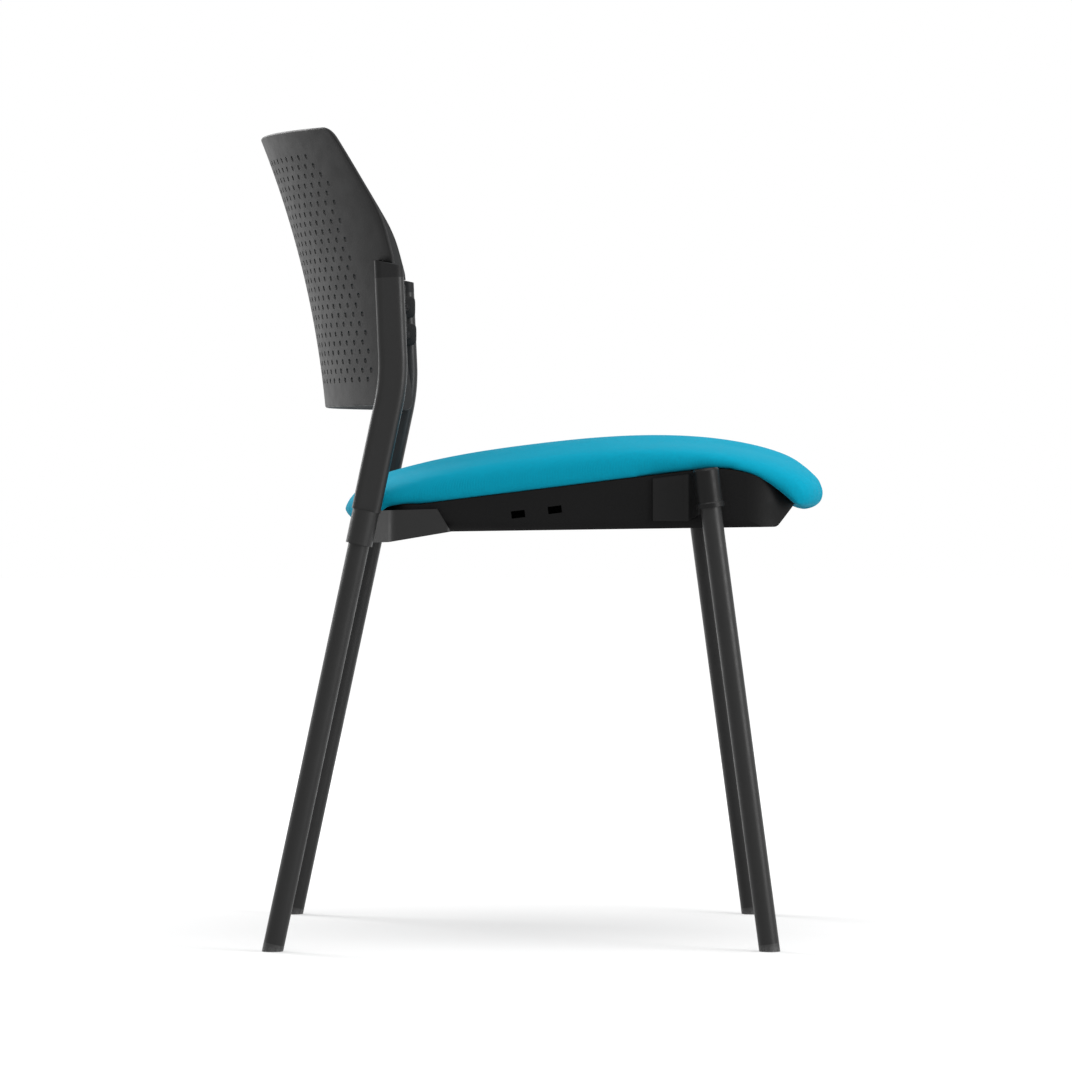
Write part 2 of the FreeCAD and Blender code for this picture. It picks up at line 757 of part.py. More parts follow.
def seat_pan():
    """The hollow pan with screw bosses, a web between each front and rear boss, link slots and bolt holes."""
    shell = boolean("Part::Cut", "PanShell", pan_block("PanOuter", "0"), pan_block("PanHollow", "pan_wall"))
    inside = document.PanHollow.Shape
    low = size("pan_rear_z")
    gap = size("boss_wall")
    posts = []
    start_z = low + size("pan_wall") / 2
    for x, y in seat_screw_places():
        posts.append(upright_cylinder(x, y, start_z, rim_number(y) + gap, size("boss_radius")))
    wall = size("pan_wall")
    front_y = size("screw_front_y")
    for sign in (1, -1):
        corner = Vector(sign * size("screw_x") - wall / 2, front_y, start_z)
        posts.append(Part.makeBox(wall, size("screw_rear_y") - front_y, FAR, corner))
    under = document.BelowRim0.Shape
    kept = [post.common(inside).common(under) for post in posts]
    body = shell.Shape.fuse(kept)
    cuts = []
    radius = size("bolt_radius + screw_clearance")
    for x, y in seat_screw_places():
        seat_z = rim_number(y) - size("screw_seat")
        cuts.append(upright_cylinder(x, y, 0, seat_z, size("bolt_head / 2 + screw_clearance")))
        cuts.append(upright_cylinder(x, y, 0, rim_number(y) + FAR, radius))
    half = size("pan_half")
    for sign in (1, -1):
        for centre_y, centre_z in REAR_BOLTS + FRONT_BOLTS:
            start = Vector(sign * (half - size("pan_wall") * 2), size(centre_y), size(centre_z))
            cuts.append(Part.makeCylinder(radius, size("pan_wall") * 3, start, Vector(sign, 0, 0)))
            start.x = sign * (half - size("pan_wall + bolt_head"))
            head = size("bolt_head / 2 + screw_clearance")
            cuts.append(Part.makeCylinder(head, size("bolt_head"), start, Vector(sign, 0, 0)))
        cuts.extend(link_slots(sign))
    return solid_feature("seat_pan", body.cut(cuts).removeSplitter())


def link_slots(sign):
    """Two rectangular slots through a side of the pan, sloping with the rim."""
    length = size("slot_length")
    height = size("slot_height")
    depth = size("pan_wall") * 4
    slope = math.atan2(size("rim_peak_rise - rim_rear_rise"), size("rim_knee_y - rim_peak_y"))
    for place in range(2):
        y = size("slot_rear_y") - place * size("slot_spacing")
        z = size("seat_level + slot_rise") + place * size("slot_spacing") * math.tan(slope)
        box = Part.makeBox(depth, length, height, Vector(-depth / 2, -length / 2, -height / 2))
        box.rotate(Vector(0, 0, 0), Vector(1, 0, 0), -math.degrees(slope))
        box.translate(Vector(sign * size("pan_half"), y, z))
        yield box


def bend(first, last, heading):
    """The arc that leaves first at a heading, in radians from +Y towards +Z, and ends at last."""
    chord = last - first
    lie = math.atan2(chord.z, chord.y)
    half_turn = math.remainder(lie - heading, 2 * math.pi)
    side = Vector(0, math.sin(lie), -math.cos(lie))
    middle = (first + last) / 2 + side * (chord.Length / 2 * math.tan(half_turn / 2))
    return Part.Arc(first, middle, last).toShape(), lie + half_turn


def bend_through(points, heading):
    """Arcs through points, each leaving a point the way the last one came in."""
    edges = []
    for first, last in zip(points, points[1:]):
        edge, heading = bend(first, last, heading)
        edges.append(edge)
    return edges


def pad_section(share, inset):
    """The seat pad's side outline at a share of its half width, drawn in all round by inset.

    Towards the sides the top falls, and front and rear draw back, by the superellipse (1 - share^4)^(1/4).
    From the crown the outline runs smoothly over the rear nose and over the front lip.
    """
    round_off = 1 - (1 - share ** 4) ** 0.25
    x = share * (size("pad_half") - inset)
    drop = size("pad_side_drop") * round_off + inset
    back = size("pad_corner_depth") * round_off + inset
    base = size("seat_level")

    def point(y, rise):
        return Vector(x, y, base + rise)

    nose = size("pad_rear_nose")
    rear = size("pad_rear_y") - back
    front = size("pad_front_y") + back
    low = size("pad_lip_rise") - nose + inset
    crown = point(size("pad_crown_y"), size("pad_crown_rise") - drop)
    behind = [
        crown,
        point(size("pad_shoulder_y"), size("pad_shoulder_rise") - drop),
        point(rear - nose * 0.67, low + 2 * nose - inset * 2 - drop * 0.3),
        point(rear, low + nose - inset),
        point(rear - nose, low),
    ]
    lip = point(front + size("pad_lip_depth"), size("pad_lip_rise") + inset)
    ahead = [
        crown,
        point(size("pad_brow_y") + back * 0.6, size("pad_brow_rise") - drop),
        point(front, size("pad_nose_rise")),
        lip,
    ]
    flat = Vector(x, lip.y + size("pad_lip_depth"), lip.z)
    edges = list(reversed(bend_through(behind, 0.0))) + bend_through(ahead, math.pi)
    edges.append(Part.LineSegment(lip, flat).toShape())
    edges.append(Part.LineSegment(flat, behind[-1]).toShape())
    return Part.Wire(edges)


HALF_SHARES = (0.5, 0.8, 0.93, 0.975, 0.994, 1.0)


def pad_form(inset, under, clear):
    """A crowned block lofted across the seat, hollowed to the rim line, with room for the brackets' arms."""
    shares = [-share for share in reversed(HALF_SHARES)] + [0.0] + list(HALF_SHARES)
    block = Part.makeLoft([pad_section(share, inset) for share in shares], True, True)
    return block.cut([under] + arm_rooms(clear))


def arm_rooms(clear):
    """Blocks over the brackets' arms, out from the pan's sides, larger by clear."""
    low_y = size("rear_leg_y - arm_length") - clear
    run = size("pad_rear_y") - low_y + FAR
    inner = size("pan_half") - clear
    high = size("seat_level + arm_top_rise") + clear
    blocks = []
    for start in (inner, -inner - FAR):
        blocks.append(Part.makeBox(FAR, run, high, Vector(start, low_y, 0)))
    return blocks


def seat_pad():
    """Cover, foam and board of the seat pad, each its own solid."""
    cover = size("cover_thickness")
    clear = size("seat_side_gap") / 6
    outer = pad_form(0.0, document.BelowRim0.Shape, clear)
    core = pad_form(cover, document.BelowRimCover.Shape, clear + cover)
    board = seat_board()
    opening = board_strip("CoverOpening", "-cover_thickness * 2", "cover_thickness * 2", "cover_lip")
    solid_feature("seat_cover", outer.cut(core).cut(opening.Shape))
    solid_feature("seat_foam", core.cut(board.Shape).cut(insert_rooms()))


def board_strip(label, low, high, inset):
    """A curved plate between two lines parallel to the rim, rounded in plan, drawn in from the pad's side."""
    body = new_body(label)
    side = new_sketch(body, "side", "YZ_Plane")
    shift = f"({inset} - board_inset)"
    front_y = f"(board_front_y + {shift})"
    rear_y = f"(board_rear_y - {shift})"
    upper = rim_line(high, "pan_front_y", "pan_rear_y")
    lower = list(reversed(rim_line(low, "pan_front_y", "pan_rear_y")))
    draw(side, upper + lower)
    pad(body, side, "leg_track", midplane=True)
    plan = new_sketch(body, "plan", "XY_Plane")
    draw_frame(plan)
    half = f"(pad_half - {inset})"
    draw(plan, [
        (f"-{half}", front_y, "board_corner"),
        (half, front_y, "board_corner"),
        (half, rear_y, "board_corner"),
        (f"-{half}", rear_y, "board_corner"),
    ])
    pocket(body, plan)
    return body


def seat_board():
    plate = board_strip("BoardPlate", "cover_thickness", "cover_thickness + board_thickness", "board_inset")
    return solid_feature("seat_board", plate.Shape.cut(insert_rooms()))


def insert_size(y):
    """Bottom, top and radius of the insert at y: a sleeve up into the board."""
    low = rim_number(y) + size("cover_thickness")
    high = low + size("board_thickness - insert_wall")
    return low, high, size("bolt_radius + screw_clearance + insert_wall")


def insert_shape(x, y, bore):
    low, high, radius = insert_size(y)
    sleeve = prism(radius, low, high).cut(prism(bore, low - 1, high + 1))
    sleeve.translate(Vector(x, y, 0))
    return sleeve


def insert_rooms():
    """The holes in the board that the inserts fill, open below."""
    rooms = []
    for x, y in seat_screw_places():
        low, high, radius = insert_size(y)
        rooms.append(upright_cylinder(x, y, low - size("board_thickness"), high, radius))
    return rooms


def prism(radius, low, high):
    """An upright eight-sided bar about the origin, with its corners on the radius."""
    corners = [Vector(radius * math.cos(turn * math.pi / 4), radius * math.sin(turn * math.pi / 4), low)
               for turn in range(9)]
    return Part.Face(Part.makePolygon(corners)).extrude(Vector(0, 0, high - low))


def turned_screw(start, direction, shank, reach, head, head_height):
    """A screw with a flat head behind start and a plain shank of the given reach ahead of it."""
    solid = prism(head / 2, -head_height, 0).fuse(prism(shank / 2, 0, reach))
    solid.Placement = Placement(start, Rotation(Vector(0, 0, 1), direction))
    return solid


def fasteners():
    """Each kind of fastener as one group of separate solids."""
    bolt = (size("bolt_diameter"), size("bolt_head"), size("bolt_head_height"))
    pin = (size("pin_diameter"), size("pin_head"), size("pin_head_height"))
    seat = []
    inserts = []
    for x, y in seat_screw_places():
        start = Vector(x, y, rim_number(y) - size("screw_seat"))
        reach = size("screw_seat + cover_thickness + board_thickness / 2")
        seat.append(turned_screw(start, Vector(0, 0, 1), bolt[0], reach, bolt[1], bolt[2]))
        inserts.append(insert_shape(x, y, bolt[0] / 2))
    bolts = []
    pins = []
    backs = []
    for _, sign in SIDES:
        out = Vector(sign, 0, 0)
        for centre_y, centre_z in REAR_BOLTS + FRONT_BOLTS:
            start = Vector(sign * (size("pan_half") - size("pan_wall")), size(centre_y), size(centre_z))
            reach = size("pan_wall + bolt_reach")
            bolts.append(turned_screw(start, out, bolt[0], reach, bolt[1], bolt[2]))
        start = Vector(sign * size("leg_x - collar_radius"), size("rear_leg_y"), size("seat_level"))
        reach = size("collar_wall + leg_wall")
        pins.append(turned_screw(start, out, pin[0], reach, pin[1], pin[2]))
        for place in range(2):
            centre_y, centre_z = lug_centre(place)
            start = Vector(sign * size("lug_inner_x"), size(centre_y), size(centre_z))
            reach = size("lug_thickness + back_side_gap + upright_wall")
            backs.append(turned_screw(start, out, pin[0], reach, pin[1], pin[2]))
    solid_feature("seat_screws", Part.makeCompound(seat))
    solid_feature("seat_inserts", Part.makeCompound(inserts))
    solid_feature("bracket_bolts", Part.makeCompound(bolts))
    solid_feature("leg_screws", Part.makeCompound(pins))
    solid_feature("back_screws", Part.makeCompound(backs))


def back_panel():
    """The back: one plan arc lofted up a curved profile, trimmed to its outline, with lugs for the screws."""
    body = new_body("BackSlab")
    sections = []
    for place, share in enumerate(BACK_SHARES):
        rise = f"(back_bottom_rise + {share} * (back_top_rise - back_bottom_rise))"
        rear_y = f"back_axis_y - sqrt(back_profile_radius ^ 2 - (seat_level + {rise} - back_axis_z) ^ 2)"
        section = new_sketch(body, f"plan_{place}", "XY_Plane", "0", rear_y, f"seat_level + {rise}")
        draw_back_arcs(section)
        sections.append(section)
    document.recompute()
    slab = body.newObject("PartDesign::AdditiveLoft", "BackSlab_Loft")
    slab.Profile = sections[0]
    slab.Sections = sections[1:]
    document.recompute()
    outline = new_sketch(body, "outline", "XZ_Plane")
    draw_frame(outline)
    draw(outline, back_outline())
    pocket(body, outline)
    for name, sign in SIDES:
        back_lugs(body, name, sign)
    return solid_feature("back_panel", body.Shape)


# Heights of the back's plan sections, as shares of its height, a little past both ends.
BACK_SHARES = (-0.02, 0.25, 0.5, 0.75, 1.02)


def draw_back_arcs(sketch):
    """The panel's plan section: two arcs about one centre in front of the back, closed at both ends."""
    rear = size("back_plan_radius")
    front = rear - size("back_thickness")
    centre = Vector(0, -rear, 0)
    half = math.asin(size("ear_half + back_thickness * 2") / rear)
    names = []
    for radius, text in ((rear, "back_plan_radius"), (front, "back_plan_radius - back_thickness")):
        circle = Part.Circle(centre, Vector(0, 0, 1), radius)
        index = sketch.addGeometry(Part.ArcOfCircle(circle, math.pi / 2 - half, math.pi / 2 + half), False)
        pin_point(sketch, index, 3, "0", "-back_plan_radius")
        fix(sketch, "Radius", (index,), text)
        for end, sign in ((1, 1), (2, -1)):
            reach = f"{sign} * (ear_half + back_thickness * 2) * ({text}) / back_plan_radius"
            fix(sketch, "DistanceX", (-1, 1, index, end), reach)
        names.append(index)
    for end in (1, 2):
        ends = [sketch.Geometry[index].StartPoint if end == 1 else sketch.Geometry[index].EndPoint
                for index in names]
        line = sketch.addGeometry(Part.LineSegment(*ends), False)
        for index, tip in zip(names, (1, 2)):
            sketch.addConstraint(Sketcher.Constraint("Coincident", line, tip, index, end))


def back_outline():
    """The panel in front view: narrow between the uprights, wider above them, drawn in to the top corners."""
    half = [
        ("back_half", "back_low_z", "back_low_corner"),
        ("back_half", "shoulder_z"),
        ("ear_half", "shoulder_z", "back_side_gap * 10"),
        ("ear_half", "seat_level + back_knee_rise", "back_knee_radius"),
        ("ear_half - back_top_inset", "back_top_z", "back_top_corner"),
    ]
    other = [(f"-({corner[0]})", *corner[1:]) for corner in reversed(half)]
    return half + other


def back_lugs(body, name, sign):
    """Two flat lugs on the panel's edge that lie along the upright's inner side, each with a screw hole."""
    plates = new_sketch(body, f"lugs_{name}", "YZ_Plane", "0", "0", f"{sign} * lug_inner_x")
    for place in range(2):
        centre_y, centre_z = lug_centre(place)
        draw(plates, [
            (f"{centre_y} - lug_depth / 2", f"{centre_z} - lug_height / 2", "lug_thickness"),
            (f"{centre_y} + lug_depth / 2", f"{centre_z} - lug_height / 2", "lug_thickness"),
            (f"{centre_y} + lug_depth / 2", f"{centre_z} + lug_height / 2", "lug_thickness"),
            (f"{centre_y} - lug_depth / 2", f"{centre_z} + lug_height / 2", "lug_thickness"),
        ])
    pad(body, plates, "lug_thickness", reverse=sign < 0)
    holes = new_sketch(body, f"lug_holes_{name}", "YZ_Plane", "0", "0", f"{sign} * (lug_inner_x - lug_depth)")
    for place in range(2):
        draw_circle(holes, *lug_centre(place), "pin_diameter / 2")
    pocket(body, holes, "lug_thickness + lug_depth * 2", reverse=sign > 0)


def check(labels):
    """Stops the build if any object failed or any sub-part's shape is missing or not valid."""
    document.recompute()
    for item in document.Objects:
        if "Invalid" in item.State or "Error" in item.State:
            raise RuntimeError(f"{item.Label} failed: {item.State}")
    for label in labels:
        shape = document.getObjectsByLabel(label)[0].Shape
        if shape.isNull() or not shape.isValid() or not shape.Solids:
            raise RuntimeError(f"{label} has no valid solid")


def main():
    fill_sheet()
    rear = ("rear_foot_y", "rear_lean")
    front = ("front_foot_y", "-front_lean")
    below_rim("0")
    below_rim("cover_thickness")
    labels = ["seat_pan", "seat_cover", "seat_foam", "seat_board", "back_panel", "seat_screws", "seat_inserts",
              "bracket_bolts", "leg_screws", "back_screws", "floor_glides", "upright_caps"]
    glides = []
    caps = []
    for name, sign in SIDES:
        leg(f"rear_leg_{name}", sign, *rear, "rear_leg_length", ("rear_leg_y", "seat_level"))
        leg(f"front_leg_{name}", sign, *front, "front_leg_length")
        glides.append(glide(f"RearGlide_{name}", sign, *rear))
        glides.append(glide(f"FrontGlide_{name}", sign, *front))
        rear_bracket(f"rear_bracket_{name}", sign)
        front_bracket(f"front_bracket_{name}", sign)
        upright(f"back_upright_{name}", sign)
        caps.append(cap(f"UprightCap_{name}", sign))
        for piece in ("rear_leg", "front_leg", "rear_bracket", "front_bracket", "back_upright"):
            labels.append(f"{piece}_{name}")
    group("floor_glides", glides)
    group("upright_caps", caps)
    seat_pan()
    seat_pad()
    back_panel()
    fasteners()
    check(labels)
    os.makedirs("parts", exist_ok=True)
    for label in labels:
        document.getObjectsByLabel(label)[0].Shape.exportStep(f"parts/{label}.step")


main()
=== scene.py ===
"""Dresses a stacking chair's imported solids: frame finishes, a perforated back and a padded seat."""

import math

import bmesh
import bpy
import numpy as np
from bpy.props import FloatProperty, FloatVectorProperty, IntProperty, PointerProperty
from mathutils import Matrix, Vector


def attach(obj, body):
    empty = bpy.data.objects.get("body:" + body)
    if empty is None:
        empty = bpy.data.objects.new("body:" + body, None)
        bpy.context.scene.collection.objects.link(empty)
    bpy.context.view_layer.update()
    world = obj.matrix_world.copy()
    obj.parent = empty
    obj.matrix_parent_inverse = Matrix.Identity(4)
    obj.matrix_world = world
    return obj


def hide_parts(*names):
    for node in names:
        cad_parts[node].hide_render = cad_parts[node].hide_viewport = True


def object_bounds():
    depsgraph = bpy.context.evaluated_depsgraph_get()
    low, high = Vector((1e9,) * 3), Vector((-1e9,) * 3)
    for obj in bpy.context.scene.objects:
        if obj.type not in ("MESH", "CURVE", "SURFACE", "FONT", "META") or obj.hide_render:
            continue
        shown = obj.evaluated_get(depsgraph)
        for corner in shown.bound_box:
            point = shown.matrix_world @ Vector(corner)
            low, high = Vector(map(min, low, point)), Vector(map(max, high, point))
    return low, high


bl_info = {
    "name": "Stacking chair looks",
    "version": (1, 0, 0),
    "blender": (4, 5, 0),
    "location": "View3D > Sidebar > Chair",
    "description": "Makes the chair's perforated back and padded seat and gives every piece its finish",
    "category": "Object",
}

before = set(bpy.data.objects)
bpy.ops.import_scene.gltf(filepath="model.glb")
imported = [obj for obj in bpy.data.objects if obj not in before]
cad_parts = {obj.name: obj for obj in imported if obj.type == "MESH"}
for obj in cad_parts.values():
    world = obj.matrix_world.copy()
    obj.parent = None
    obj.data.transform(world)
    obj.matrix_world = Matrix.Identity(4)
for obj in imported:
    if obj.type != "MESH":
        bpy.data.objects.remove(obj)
CAD_BOX = [list(corner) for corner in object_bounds()]
BODY = "root"
SIDES = ("left", "right")

# Edges sharper than this stay creased.
CREASE = math.radians(42)

# Gloss of each finish, as the shader's specular level, and the weave's pitch.
COAT_GLOSS = 0.26
SOCKET_GLOSS = 0.16
PAN_GLOSS = 0.1
CAP_GLOSS = 0.14
BACK_GLOSS = 0.18
CLOTH_GLOSS = 0.06
YARN_PITCH = 0.0015

# The back: points round a hole, turns of the half-round edge, the lugs' centres and size in Y and Z, and
# their two sides in X.
HOLE_POINTS = 16
EDGE_TURNS = np.radians((60.0, 30.0, 0.0, -30.0, -60.0))
LUG_CENTRES = ((0.13267, 0.596), (0.1339, 0.624))
LUG_SIZE = (0.020, 0.022)
LUG_SIDES = (0.2307, 0.2357)

# The pan: corner radii of its plan and the fall of its rim in front.
PAN_CORNER_FRONT = 0.048
PAN_CORNER_REAR = 0.030
RIM_FALL = math.radians(43.0)

# The pad's underside: how far past the pan's side it lies on the rim, its gap there, half the length of
# the room over a front bracket, how far inside the pan's side that room starts, the lowest end.
RIM_REACH = 0.0012
RIM_GAP = 0.0004
BRACKET_REACH = 0.037
BRACKET_INSET = 0.004
END_LOW = 0.402

# The pad's mesh: sections across, points over the top and along the underside of each, and the share of a
# grid step within which points settle onto the underside.
SECTIONS = 91
TOP_POINTS = 150
UNDER_POINTS = 80
SETTLE_SHARE = 0.66

# The cloth: what is held, as a margin round the pan, a height over the rim and a height at the ends; then
# the simulation's steps and quality and the rounds of evening out.
HELD_MARGIN = 0.004
HELD_RISE = 0.006
HELD_LOW = 0.4075
CLOTH_STEPS = 20
CLOTH_QUALITY = 6
EVEN_ROUNDS = 24

# Each lamp: its power's name in the studio, its place, its aim and its size.
LAMPS = {
    "lamp_overhead": ("key", (-0.5, -0.4, 3.2), (0, 0, 0.4), 3.0),
    "lamp_front": ("front", (-1.9, -2.9, 1.2), (0, 0, 0.45), 1.6),
    "lamp_rear": ("rear", (2.4, 2.6, 2.0), (0, 0.1, 0.65), 1.6),
}

# The floor: half its size, its height, its paint, its glow near the chair and far off, and those distances.
FLOOR_HALF = 20.0
FLOOR_Z = -0.0004
FLOOR_PAINT = (0.50, 0.50, 0.50, 1)
FLOOR_GLOW = (0.385, 0.82, 0.6, 3.4)


class ChairBackSizes(bpy.types.PropertyGroup):
    """Outline, bend and perforation of the back panel."""

    plan_radius: FloatProperty(
        name="Plan radius", default=0.388, unit="LENGTH",
        description="Bend of the middle surface seen from above")
    rear_offset: FloatProperty(
        name="Rear offset", default=0.390, unit="LENGTH",
        description="Plan centre to the rear face")
    sweep_radius: FloatProperty(
        name="Sweep radius", default=0.950, unit="LENGTH",
        description="Bend of the rear face seen from the side")
    sweep_y: FloatProperty(
        name="Sweep centre Y", default=1.153836, unit="LENGTH",
        description="Centre of the side bend, front to rear")
    sweep_z: FloatProperty(
        name="Sweep centre Z", default=0.430138, unit="LENGTH",
        description="Centre of the side bend, height")
    half_thick: FloatProperty(
        name="Half thickness", default=0.002, unit="LENGTH",
        description="Half the wall, also the round of its edge")
    half_low: FloatProperty(
        name="Half width, low", default=0.2357, unit="LENGTH",
        description="Half width between the uprights")
    half_ear: FloatProperty(
        name="Half width, ears", default=0.254, unit="LENGTH",
        description="Half width above the uprights")
    half_top: FloatProperty(
        name="Half width, top", default=0.228, unit="LENGTH",
        description="Half width at the top corners")
    low_z: FloatProperty(
        name="Lower edge", default=0.518, unit="LENGTH",
        description="Height of the lower edge")
    shoulder_z: FloatProperty(
        name="Shoulder", default=0.6548, unit="LENGTH",
        description="Height of the ears' lower edge")
    ear_fall: FloatProperty(
        name="Ear fall", default=0.003, unit="LENGTH",
        description="How far that edge falls outwards")
    knee_z: FloatProperty(
        name="Knee", default=0.700, unit="LENGTH",
        description="Height where the ears lean in")
    knee_radius: FloatProperty(
        name="Knee radius", default=0.110, unit="LENGTH",
        description="Round of the knee")
    top_z: FloatProperty(
        name="Upper edge", default=0.783, unit="LENGTH",
        description="Height of the upper edge")
    top_corner: FloatProperty(
        name="Top corner", default=0.014, unit="LENGTH",
        description="Radius of the upper corners")
    low_corner: FloatProperty(
        name="Low corner", default=0.010, unit="LENGTH",
        description="Radius of the lower corners")
    hole_pitch: FloatProperty(
        name="Hole pitch", default=0.018, unit="LENGTH",
        description="Distance of holes along a row")
    row_pitch: FloatProperty(
        name="Row pitch", default=0.0089, unit="LENGTH",
        description="Distance of rows")
    hole_radius: FloatProperty(
        name="Hole radius", default=0.0026, unit="LENGTH",
        description="Half a hole's width at the rear face")
    hole_draft: FloatProperty(
        name="Hole draft", default=0.0006, unit="LENGTH",
        description="How much wider a hole is at the front face")
    first_row_z: FloatProperty(
        name="First row", default=0.757, unit="LENGTH",
        description="Height of the uppermost row of holes")
    rows: IntProperty(
        name="Rows", default=25,
        description="Number of rows of holes")
    half_rows: IntProperty(
        name="Half row", default=12,
        description="Holes in half of the longer rows")
    field_corner: FloatProperty(
        name="Field corner", default=0.040, unit="LENGTH",
        description="Round of the hole field's upper corners")


class ChairPadSizes(bpy.types.PropertyGroup):
    """Crowned form of the seat pad and the rim that it lies on."""

    half_width: FloatProperty(
        name="Half width", default=0.2283, unit="LENGTH",
        description="Half the pad's width")
    side_drop: FloatProperty(
        name="Side drop", default=0.022, unit="LENGTH",
        description="How far the top falls towards the sides")
    corner_depth: FloatProperty(
        name="Corner depth", default=0.052, unit="LENGTH",
        description="How far the ends draw back at the sides")
    start_inset: FloatProperty(
        name="Start inset", default=0.0035, unit="LENGTH",
        description="How much smaller the pad is before it swells")
    swell_limit: FloatProperty(
        name="Swell limit", default=0.006, unit="LENGTH",
        description="Most that a point moves as the pad swells")
    pressure: FloatProperty(
        name="Pressure", default=4.0,
        description="Pressure inside the cover as it swells")
    cover_mass: FloatProperty(
        name="Cover mass", default=0.3, unit="MASS",
        description="Mass of each point of the cover")
    voxel: FloatProperty(
        name="Grid", default=0.005, unit="LENGTH",
        description="Spacing of the pad's even mesh")
    pan_front: FloatProperty(
        name="Pan front", default=-0.2494, unit="LENGTH",
        description="Front wall of the pan")
    pan_rear: FloatProperty(
        name="Pan rear", default=0.1495, unit="LENGTH",
        description="Rear wall of the pan")
    pan_half: FloatProperty(
        name="Pan half", default=0.2223, unit="LENGTH",
        description="Half the pan's width")
    lip: FloatProperty(
        name="Lip", default=0.004, unit="LENGTH",
        description="How far the cover hangs below the rim outside the pan")
    bracket_y: FloatProperty(
        name="Bracket", default=-0.14525, unit="LENGTH",
        description="Middle of the front brackets")
    bracket_top: FloatProperty(
        name="Bracket top", default=0.4606, unit="LENGTH",
        description="Clear height over the front brackets")
    rim_level: FloatProperty(
        name="Rim level", default=0.424, unit="LENGTH",
        description="Height of the rim at the rear")
    rim_knee: FloatProperty(
        name="Rim knee", default=0.110, unit="LENGTH",
        description="Where the rim starts to rise")
    rim_peak_y: FloatProperty(
        name="Rim peak Y", default=-0.2088, unit="LENGTH",
        description="Where the rim's two slopes meet")
    rim_peak_z: FloatProperty(
        name="Rim peak Z", default=0.4635, unit="LENGTH",
        description="Height where the rim's two slopes meet")
    rim_radius: FloatProperty(
        name="Rim round", default=0.112, unit="LENGTH",
        description="Round of the rim's peak")


class ChairFinishes(bpy.types.PropertyGroup):
    """Colours of the chair's finishes."""

    fabric: FloatVectorProperty(
        name="Seat fabric", default=(0.001, 0.27, 0.40), subtype="COLOR", min=0, max=1,
        description="Teal wool-look cloth")
    coat: FloatVectorProperty(
        name="Powder coat", default=(0.012, 0.012, 0.012), subtype="COLOR", min=0, max=1,
        description="Charcoal coat of tubes and rear brackets")
    # The front brackets' coat is a darker copy of the frame's coat: painted shade, standing in for the
    # shade under the seat pad's overhang.
    socket: FloatVectorProperty(
        name="Socket coat", default=(0.005, 0.005, 0.0051), subtype="COLOR", min=0, max=1,
        description="Darker coat of the front brackets")
    plastic: FloatVectorProperty(
        name="Moulded plastic", default=(0.013, 0.013, 0.0132), subtype="COLOR", min=0, max=1,
        description="Charcoal of back and caps")
    # The pan's plastic is darker than the back's: partly its own darker charcoal, partly painted shade for
    # the shade under the seat pad's overhang.
    pan: FloatVectorProperty(
        name="Pan plastic", default=(0.004, 0.004, 0.0041), subtype="COLOR", min=0, max=1,
        description="Darker charcoal of the seat pan")
    glide: FloatVectorProperty(
        name="Glide plastic", default=(0.012, 0.012, 0.012), subtype="COLOR", min=0, max=1,
        description="Near black of the floor glides")
    steel: FloatVectorProperty(
        name="Screw steel", default=(0.05, 0.05, 0.052), subtype="COLOR", min=0, max=1,
        description="Black zinc of screws and inserts")
    plywood: FloatVectorProperty(
        name="Plywood", default=(0.50, 0.31, 0.15), subtype="COLOR", min=0, max=1,
        description="Birch of the hidden seat board")


class ChairStudio(bpy.types.PropertyGroup):
    """Camera and light."""

    distance: FloatProperty(
        name="Distance", default=6.0, unit="LENGTH",
        description="Camera to the chair")
    elevation: FloatProperty(
        name="Elevation", default=math.radians(0.6), unit="ROTATION",
        description="Camera above the horizon")
    azimuth: FloatProperty(
        name="Azimuth", default=math.radians(270.0), unit="ROTATION",
        description="Camera's turn about the chair")
    view_width: FloatProperty(
        name="View", default=1.06, unit="LENGTH",
        description="Width seen at the chair")
    ambient: FloatProperty(
        name="Ambient", default=0.46,
        description="Strength of the plain surrounding light")
    key: FloatProperty(
        name="Key lamp", default=80.0, unit="POWER",
        description="Power of the large lamp overhead")
    front: FloatProperty(
        name="Front lamp", default=80.0, unit="POWER",
        description="Power of the low lamp before the chair")
    rear: FloatProperty(
        name="Rear lamp", default=110.0, unit="POWER",
        description="Power of the lamp behind the chair's far side")


def add_node(tree, kind, links=None, **settings):
    """One shader node: settings are its own options, links give its inputs constants or other sockets."""
    made = tree.nodes.new(kind)
    for name, value in settings.items():
        setattr(made, name, value)
    for name, value in (links or {}).items():
        if isinstance(value, bpy.types.NodeSocket):
            tree.links.new(value, made.inputs[name])
        else:
            made.inputs[name].default_value = value
    return made


def start_finish(name):
    """A new material with its tree, its shader and the object's own coordinates."""
    material = bpy.data.materials.new(name)
    material.use_nodes = True
    tree = material.node_tree
    shader = tree.nodes["Principled BSDF"]
    place = tree.nodes.new("ShaderNodeTexCoord").outputs["Object"]
    return material, tree, shader, place


def cloudy(tree, place, scale, detail=2.0, rough=0.5):
    """Smooth noise from 0 to 1 at a scale in cells per metre."""
    noise = add_node(tree, "ShaderNodeTexNoise",
                     {"Vector": place, "Scale": scale, "Detail": detail, "Roughness": rough})
    return noise.outputs["Fac"]


def spread(tree, value, low, high, start=0.3, end=0.7):
    """A value from start to end carried to the range low to high."""
    carried = add_node(tree, "ShaderNodeMapRange", {
        "Value": value, "From Min": start, "From Max": end, "To Min": low, "To Max": high})
    return carried.outputs["Result"]


def combine(tree, operation, first, second):
    """Two numbers, sockets or constants, put together by a maths node."""
    return add_node(tree, "ShaderNodeMath", {0: first, 1: second}, operation=operation).outputs[0]


def blend_colours(tree, factor, first, second):
    """Two colours, sockets or constants, mixed by a factor socket."""
    mix = add_node(tree, "ShaderNodeMix", {"Factor": factor, "A": first, "B": second}, data_type="RGBA")
    return mix.outputs["Result"]


